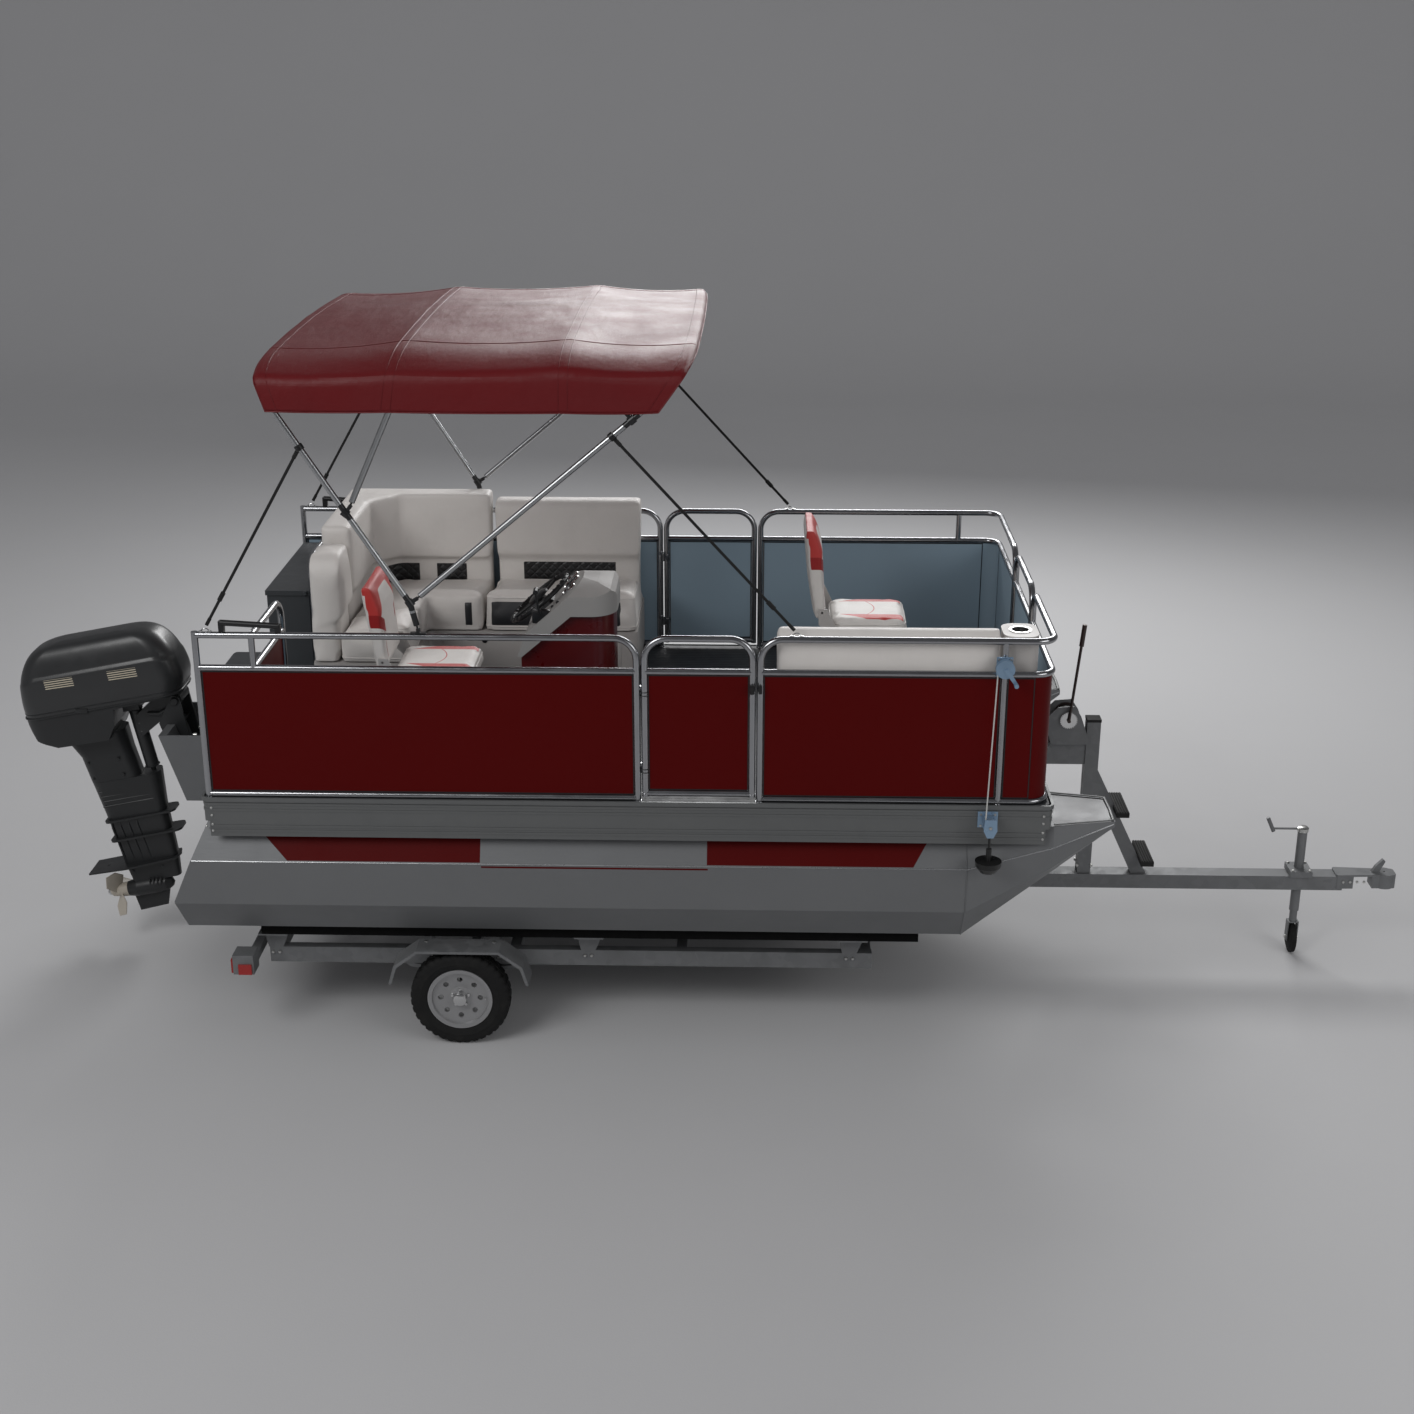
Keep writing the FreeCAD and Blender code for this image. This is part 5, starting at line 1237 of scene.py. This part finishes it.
# Anchor: twisted rope, turns on the drum, shackle
face_y = -RAIL_Y - 17.3
start, end = at(3968, face_y - 32, 728), at(3938, -1330, -74)
rope = Parts()
along = (end - start).normalized()
u = along.orthogonal().normalized()
v = along.cross(u)
count = 150
for k in range(3):
    pts = []
    for i in range(count + 1):
        a = 2 * math.pi * (i / count * 26 + k / 3)
        pts.append(start.lerp(end, i / count) + (u * math.cos(a) + v * math.sin(a)) * 0.0019)
    rope.sweep(pts, 0.0021, 6)
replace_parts(rope.make("anchor_rope_strands", "rope", ROOT), "anchor_rope")
coil = Parts()
turns, steps = 7, 28
pts = []
for i in range(turns * steps + 1):
    a = 2 * math.pi * i / steps
    centre = at(4002, face_y - 24 - 16 * i / (turns * steps), 738)
    pts.append(centre + Vector((math.cos(a), 0, math.sin(a))) * 0.0335)
coil.sweep(pts, 0.0028, 6)
coil.make("winch_rope_turns", "rope", "anchor_winch_drum")
gear = Parts()
loop = [at(3962, -1330, -97) + Vector((0.010 * c, 0, 0.016 * s)) for c, s in around(16)]
gear.sweep(loop, 0.0028, 8, True)
for s in (-1, 1):
    gear.stud(at(3962, -1330 + s * 27, -74), (0, s, 0), 0.009, 0.006)
for x in (3922, 3992):
    for z in (-100, -40):
        gear.stud(at(x, -1261.8, z), (0, -1, 0), 0.0065, 0.004)
for x in (3972, 4032):
    for z in (702, 778):
        gear.stud(at(x, face_y - 8, z), (0, -1, 0), 0.006, 0.004)
gear.make("anchor_shackle_and_bolts", "bolt", ROOT)


# Outboard trim, in the tilted frame of the motor
def motor(u, v, y=0.0):
    c, s = math.cos(TRIM), math.sin(TRIM)
    return at(-470 + u * c - v * s, y, 95 + u * s + v * c)


def cowl_ring(v, u0, u1, half, r, n=9):
    return [motor(u, v, y) for u, y in rounded((u0, -half), (u1, half), r, n)]


def smooth_cowl():
    """The cowl's rings joined in one smooth shell, pressed in above a crease round its shoulder."""
    rings = [(56, -858, 58, 172, 110), (150, -852, 86, 180, 112), (270, -828, 70, 174, 108),
             (370, -770, 24, 156, 100), (425, -700, -40, 128, 90), (447, -600, -130, 80, 60),
             (452, -500, -240, 34, 30)]
    verts = []
    levels = curve_through([Vector(r) for r in rings], 12)
    for v, u0, u1, half, r in levels:
        for point in cowl_ring(v, u0, u1, half, r, 17):
            ahead = (point - motor(-400, v)).dot(motor(1001, 0) - motor(1, 0))
            crease = 318 - 340 * (ahead - 0.03) ** 2
            tuck = min(max((v - crease) / 10, 0.0), 1.0)
            across = point.y - SHIFT.y
            if abs(across) > 0.02:
                point.y -= math.copysign(0.009 * tuck * tuck * (3 - 2 * tuck), across)
            verts.append(point)
    faces = bridge(len(levels), len(verts) // len(levels))
    return piece("cowl_shell", verts, faces, "cowl", "motor_leg")


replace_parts(smooth_cowl(), "outboard_cowl")
band = Parts()
band.sweep(cowl_ring(58, -859, 59, 173, 110), 0.0065, 8, True)
band.sweep(cowl_ring(84, -856, 68, 175.5, 111), 0.0030, 6, True)
for s in (-1, 1):
    band.brick(motor(-500, 62, s * 176) - Vector((0.035, 0.006, 0.012)),
               motor(-500, 62, s * 176) + Vector((0.035, 0.006, 0.012)), 0.003)
band.make("cowl_lip", "leg", "motor_leg")

ribs = Parts()
for s in (-1, 1):
    for k, u in enumerate((-590, -540, -490, -440)):
        ribs.sweep([motor(u + 6, -640, s * 50), motor(u, -700, s * 57), motor(u + 8, -860, s * 48),
                    motor(u + 14, -925, s * 42)], [0.003, 0.006, 0.006, 0.003], 8)
    for k in range(5):
        ribs.sweep([motor(-600, -440 - 30 * k, s * 66), motor(-300, -440 - 30 * k, s * 62)],
                   [0.004, 0.004], 6)
    for k in range(4):
        ribs.brick(motor(-480 + 22 * k, -1075, s * 47) - Vector((0.004, 0.006, 0.022)),
                   motor(-480 + 22 * k, -1075, s * 47) + Vector((0.004, 0.006, 0.022)), 0.002)
    for u, v, y in ((-600, -280, 76), (-420, -280, 84), (-600, -380, 68), (-420, -380, 76), (-560, -990, 38),
                    (-380, -990, 34)):
        ribs.stud(motor(u, v, s * y), (0, s, 0), 0.009, 0.007)
ribs.brick(motor(-690, -952, -22) - Vector((0.02, 0, 0.004)), motor(-650, -952, 22) + Vector((0, 0, 0.004)),
           0.003)
ribs.make("leg_ribs_and_bolts", "leg", "motor_leg")

links = Parts()
for s in (-1, 1):
    links.sweep([motor(-190, -60, s * 46), motor(-120, -70, s * 58), motor(-30, -36, s * 60)], 0.011, 10)
    links.stud(motor(0, 0, s * 97), (0, s, 0), 0.024, 0.014)
    for k in range(3):
        links.sweep([motor(-262, -60 - 50 * k, s * 38), motor(-232, -60 - 50 * k, s * 33)], 0.004, 6)
ring(links, motor(-270, -30), motor(0, 1) - motor(0, 0), 0.040, 0.004)
ring(links, motor(-270, -378), motor(0, 1) - motor(0, 0), 0.040, 0.004)
links.make("swivel_links", "leg", "motor_swivel")

clamp = Parts()
for s in (-1, 1):
    for x, z in ((-506, -95), (-478, -180), (-455, -255)):
        clamp.stud(at(x, s * 97, z), (0, s, 0), 0.010, 0.008)
    clamp.sweep([at(-392, s * 60, -120), at(-372, s * 60, -120)], 0.012, 10)
clamp.make("clamp_bolts", "bolt", ROOT)
tail = Parts()
hub_at = motor(-742, -1110)
back = (motor(-1, 0) - motor(0, 0)).normalized()
tail.lathe([(0.020, -0.004), (0.019, 0.010), (0.012, 0.016), (0.002, 0.017)], hub_at, back, 6)
tail.make("propeller_nut", "steel", "propeller")

# Trailer: bolts, brackets, winch strap and gear, step ribs, jack head and coupler
bolts = Parts()
for s in (-1, 1):
    for x in (215, 1900, 3300):
        for dx, z in ((-18, -1030), (18, -1030), (-12, -900), (32, -900)):
            bolts.stud(at(x + dx, s * 933, z), (0, s, 0), 0.009, 0.008)
    for x in (WHEEL_X - 40, WHEEL_X + 40):
        for y in (s * 905 - 26, s * 905 + 26):
            bolts.sweep([at(x, y, -1200), at(x, y, -1126)], 0.006, 8)
            bolts.stud(at(x, y, -1126), (0, 0, 1), 0.011, 0.008)
        bolts.sweep([at(x, s * 905 - 26, -1200), at(x, s * 905 + 26, -1200)], 0.006, 8)
    for x in (1060, 1418):
        bolts.stud(at(x, s * 940, -1045), (0, s, 0), 0.009, 0.007)
        bolts.stud(at(x, s * 1100, -871.5), (0, 0, 1), 0.009, 0.005)
    for k in range(4):
        bolts.stud(at(6160 + 40 * k, s * (56.5 - 1.6 * k), -960), (0, s, 0), 0.0085, 0.006)
for x in (4640, 4720):
    for y in (-38.5, 38.5):
        bolts.stud(at(x, y, -880), (0, math.copysign(1, y), 0), 0.009, 0.006)
bolts.make("trailer_bolts", "bolt", ROOT)

reel = Parts()
strap_turns = [(0.031, -0.047), (0.050, -0.047), (0.053, -0.040), (0.0535, 0.040), (0.050, 0.047),
               (0.031, 0.047)]
reel.lathe(strap_turns, at(REEL_X, 0, REEL_Z), (0, 1, 0), 40)
reel.make("winch_strap", "webbing", "winch_lever")
cog = Parts()
teeth = 26
outer = []
for k in range(teeth * 4):
    a = 2 * math.pi * k / (teeth * 4)
    r = 0.0500 if k % 4 in (0, 1) else 0.0435
    outer.append((r * math.cos(a), r * math.sin(a)))
verts = [at(REEL_X, y, REEL_Z) + Vector((px, 0, pz)) for y in (-68, -76) for px, pz in outer]
cog.add(verts, bridge(2, len(outer)))
cog.lathe([(0.020, 0.0), (0.018, 0.012), (0.002, 0.013)], at(REEL_X, 70, REEL_Z), (0, 1, 0), 24)
cog.make("winch_gear", "steel", "winch_lever", False)

ribs = Parts()
for x, z in ((4822, -520), (4982, -820)):
    for k in range(5):
        ribs.brick(at(x + 3 + 14 * k, -146, z + 13), at(x + 11 + 14 * k, 146, z + 19), 0.0015)
ribs.make("step_ribs", "tread", ROOT)

head = Parts()
head.lathe([(0.031, 0), (0.033, 0.006), (0.033, 0.020), (0.026, 0.026), (0.008, 0.027)], at(JACK_X, 0, -668),
           (0, 0, 1), 28)
ring(head, at(JACK_X, 0, -668), (0, 0, 1), 0.0285, 0.003)
for dx in (-48, 48):
    for dy in (-58, 58):
        head.stud(at(JACK_X + dx, dy, -894), (0, 0, 1), 0.009, 0.008)
for s in (-1, 1):
    head.stud(at(JACK_X + s * 31, 0, -1339), (s, 0, 0), 0.012, 0.008)
head.make("jack_head_and_bolts", "bolt", ROOT)

lamps = Parts()
for s in (-1, 1):
    for k in range(6):
        y0, y1 = sorted((s * 1080, s * 1158))
        lamps.brick(at(26.4, y0, -1034 + 12 * k), at(28.4, y1, -1029 + 12 * k), 0.0004)
lamps.make("lamp_ribs", "lens", ROOT)


# Materials for the carried-over nodes
finish = {
    "hull": ["pontoons"],
    "beam": ["deck_frame"],
    "skirt": ["deck_skirt"],
    "deck": ["deck_floor"],
    "rail": ["fence_rails_starboard", "fence_rails_port", "gate_starboard_frame", "gate_port_frame",
             "gate_bow_frame", "seat_pedestals"],
    "starboard": ["fence_panels_starboard", "gate_starboard_panel"],
    "port": ["fence_panels_port", "gate_port_panel"],
    "bow_gate": ["gate_bow_panel"],
    "box": ["stern_boxes", "stern_locker_lid"],
    "shell": ["seat_bases"],
    "dash": ["helm_dash"],
    "red": ["helm_console"],
    "black": ["helm_wheel", "bimini_mounts"],
    "steel": ["cup_holder"],
    "blue": ["anchor_gear", "anchor_winch_drum"],
    "rope": ["anchor_rope"],
    "iron": ["mushroom_anchor"],
    "main_bow": ["bimini_main_bow"],
    "mid_bow": ["bimini_mid_bow"],
    "second_bow": ["bimini_second_bow"],
    "front_bow": ["bimini_front_bow"],
    "leg": ["outboard_leg", "outboard_swivel", "outboard_clamp"],
    "cowl": ["outboard_cowl"],
    "prop": ["propeller"],
    "zinc": ["trailer_frame", "trailer_axle", "trailer_fenders", "winch_stand", "trailer_jack",
             "trailer_coupler"],
    "carpet": ["trailer_bunks"],
    "lens": ["tail_lamp_lenses"],
    "rim": ["wheel_rim_starboard", "wheel_rim_port"],
    "tyre": ["jack_wheel"],
    "tread": ["stand_treads"],
    "winch": ["winch_reel"],
}
for material, names in finish.items():
    for name in names:
        slots = nodes[name].data.materials
        for i in range(len(slots)):
            slots[i] = m[material]

# Stage, light and camera: the floor sweeps up behind into a backdrop
sweep = [(-40, 0), (16, 0)]
sweep += [(16 + 9 * math.sin(math.radians(a)), 9 - 9 * math.cos(math.radians(a))) for a in range(6, 91, 6)]
sweep.append((25, 40))
verts = [(x, y, z) for y, z in sweep for x in (-60, 60)]
faces = grid(len(sweep), 2)
ground = Surface("floor_paint", (0.50, 0.50, 0.505), 0.75, 0.0, 0.015, 0.6, 90, 0.0006)
m["ground"] = ground.done()
piece("floor", verts, faces, "ground", None)

world = bpy.data.worlds.new("studio")
bpy.context.scene.world = world
world.use_nodes = True
tree = world.node_tree
backing = tree.nodes["Background"]
rays = tree.nodes.new("ShaderNodeLightPath")
mirrors = tree.nodes.new("ShaderNodeMix")
mirrors.data_type = "RGBA"
tree.links.new(rays.outputs["Is Glossy Ray"], mirrors.inputs[0])
mirrors.inputs[6].default_value = (0.36, 0.36, 0.37, 1)
mirrors.inputs[7].default_value = (0.10, 0.10, 0.105, 1)
tree.links.new(mirrors.outputs[2], backing.inputs[0])


def softbox(name, place, aim, size, power, color=(1, 1, 1)):
    data = bpy.data.lights.new(name, "AREA")
    data.shape = "RECTANGLE"
    data.size, data.size_y = size
    data.energy = power
    data.color = color
    lamp = bpy.data.objects.new(name, data)
    bpy.context.scene.collection.objects.link(lamp)
    lamp.location = place
    lamp.rotation_euler = (Vector(aim) - Vector(place)).to_track_quat("-Z", "Y").to_euler()


softbox("key_light", (-6.5, -7.5, 8.5), (0, 0, 1.2), (5, 5), 430)
softbox("fill_light", (7.5, -7.0, 5.5), (0, 0, 1.2), (6, 4), 170)
softbox("rim_light", (1.4, 8.0, 6.6), (0, 0, 1.8), (7, 3), 600)

lens = bpy.data.cameras.new("camera")
lens.lens = 50
lens.sensor_width = 36
lens.clip_end = 200
camera = bpy.data.objects.new("camera", lens)
bpy.context.scene.collection.objects.link(camera)
camera.location = (0.2106, -10.3048, 5.3288)
camera.rotation_euler = (math.radians(69.61), 0, math.radians(1.495))
bpy.context.scene.camera = camera
bpy.context.scene.view_settings.view_transform = "Standard"
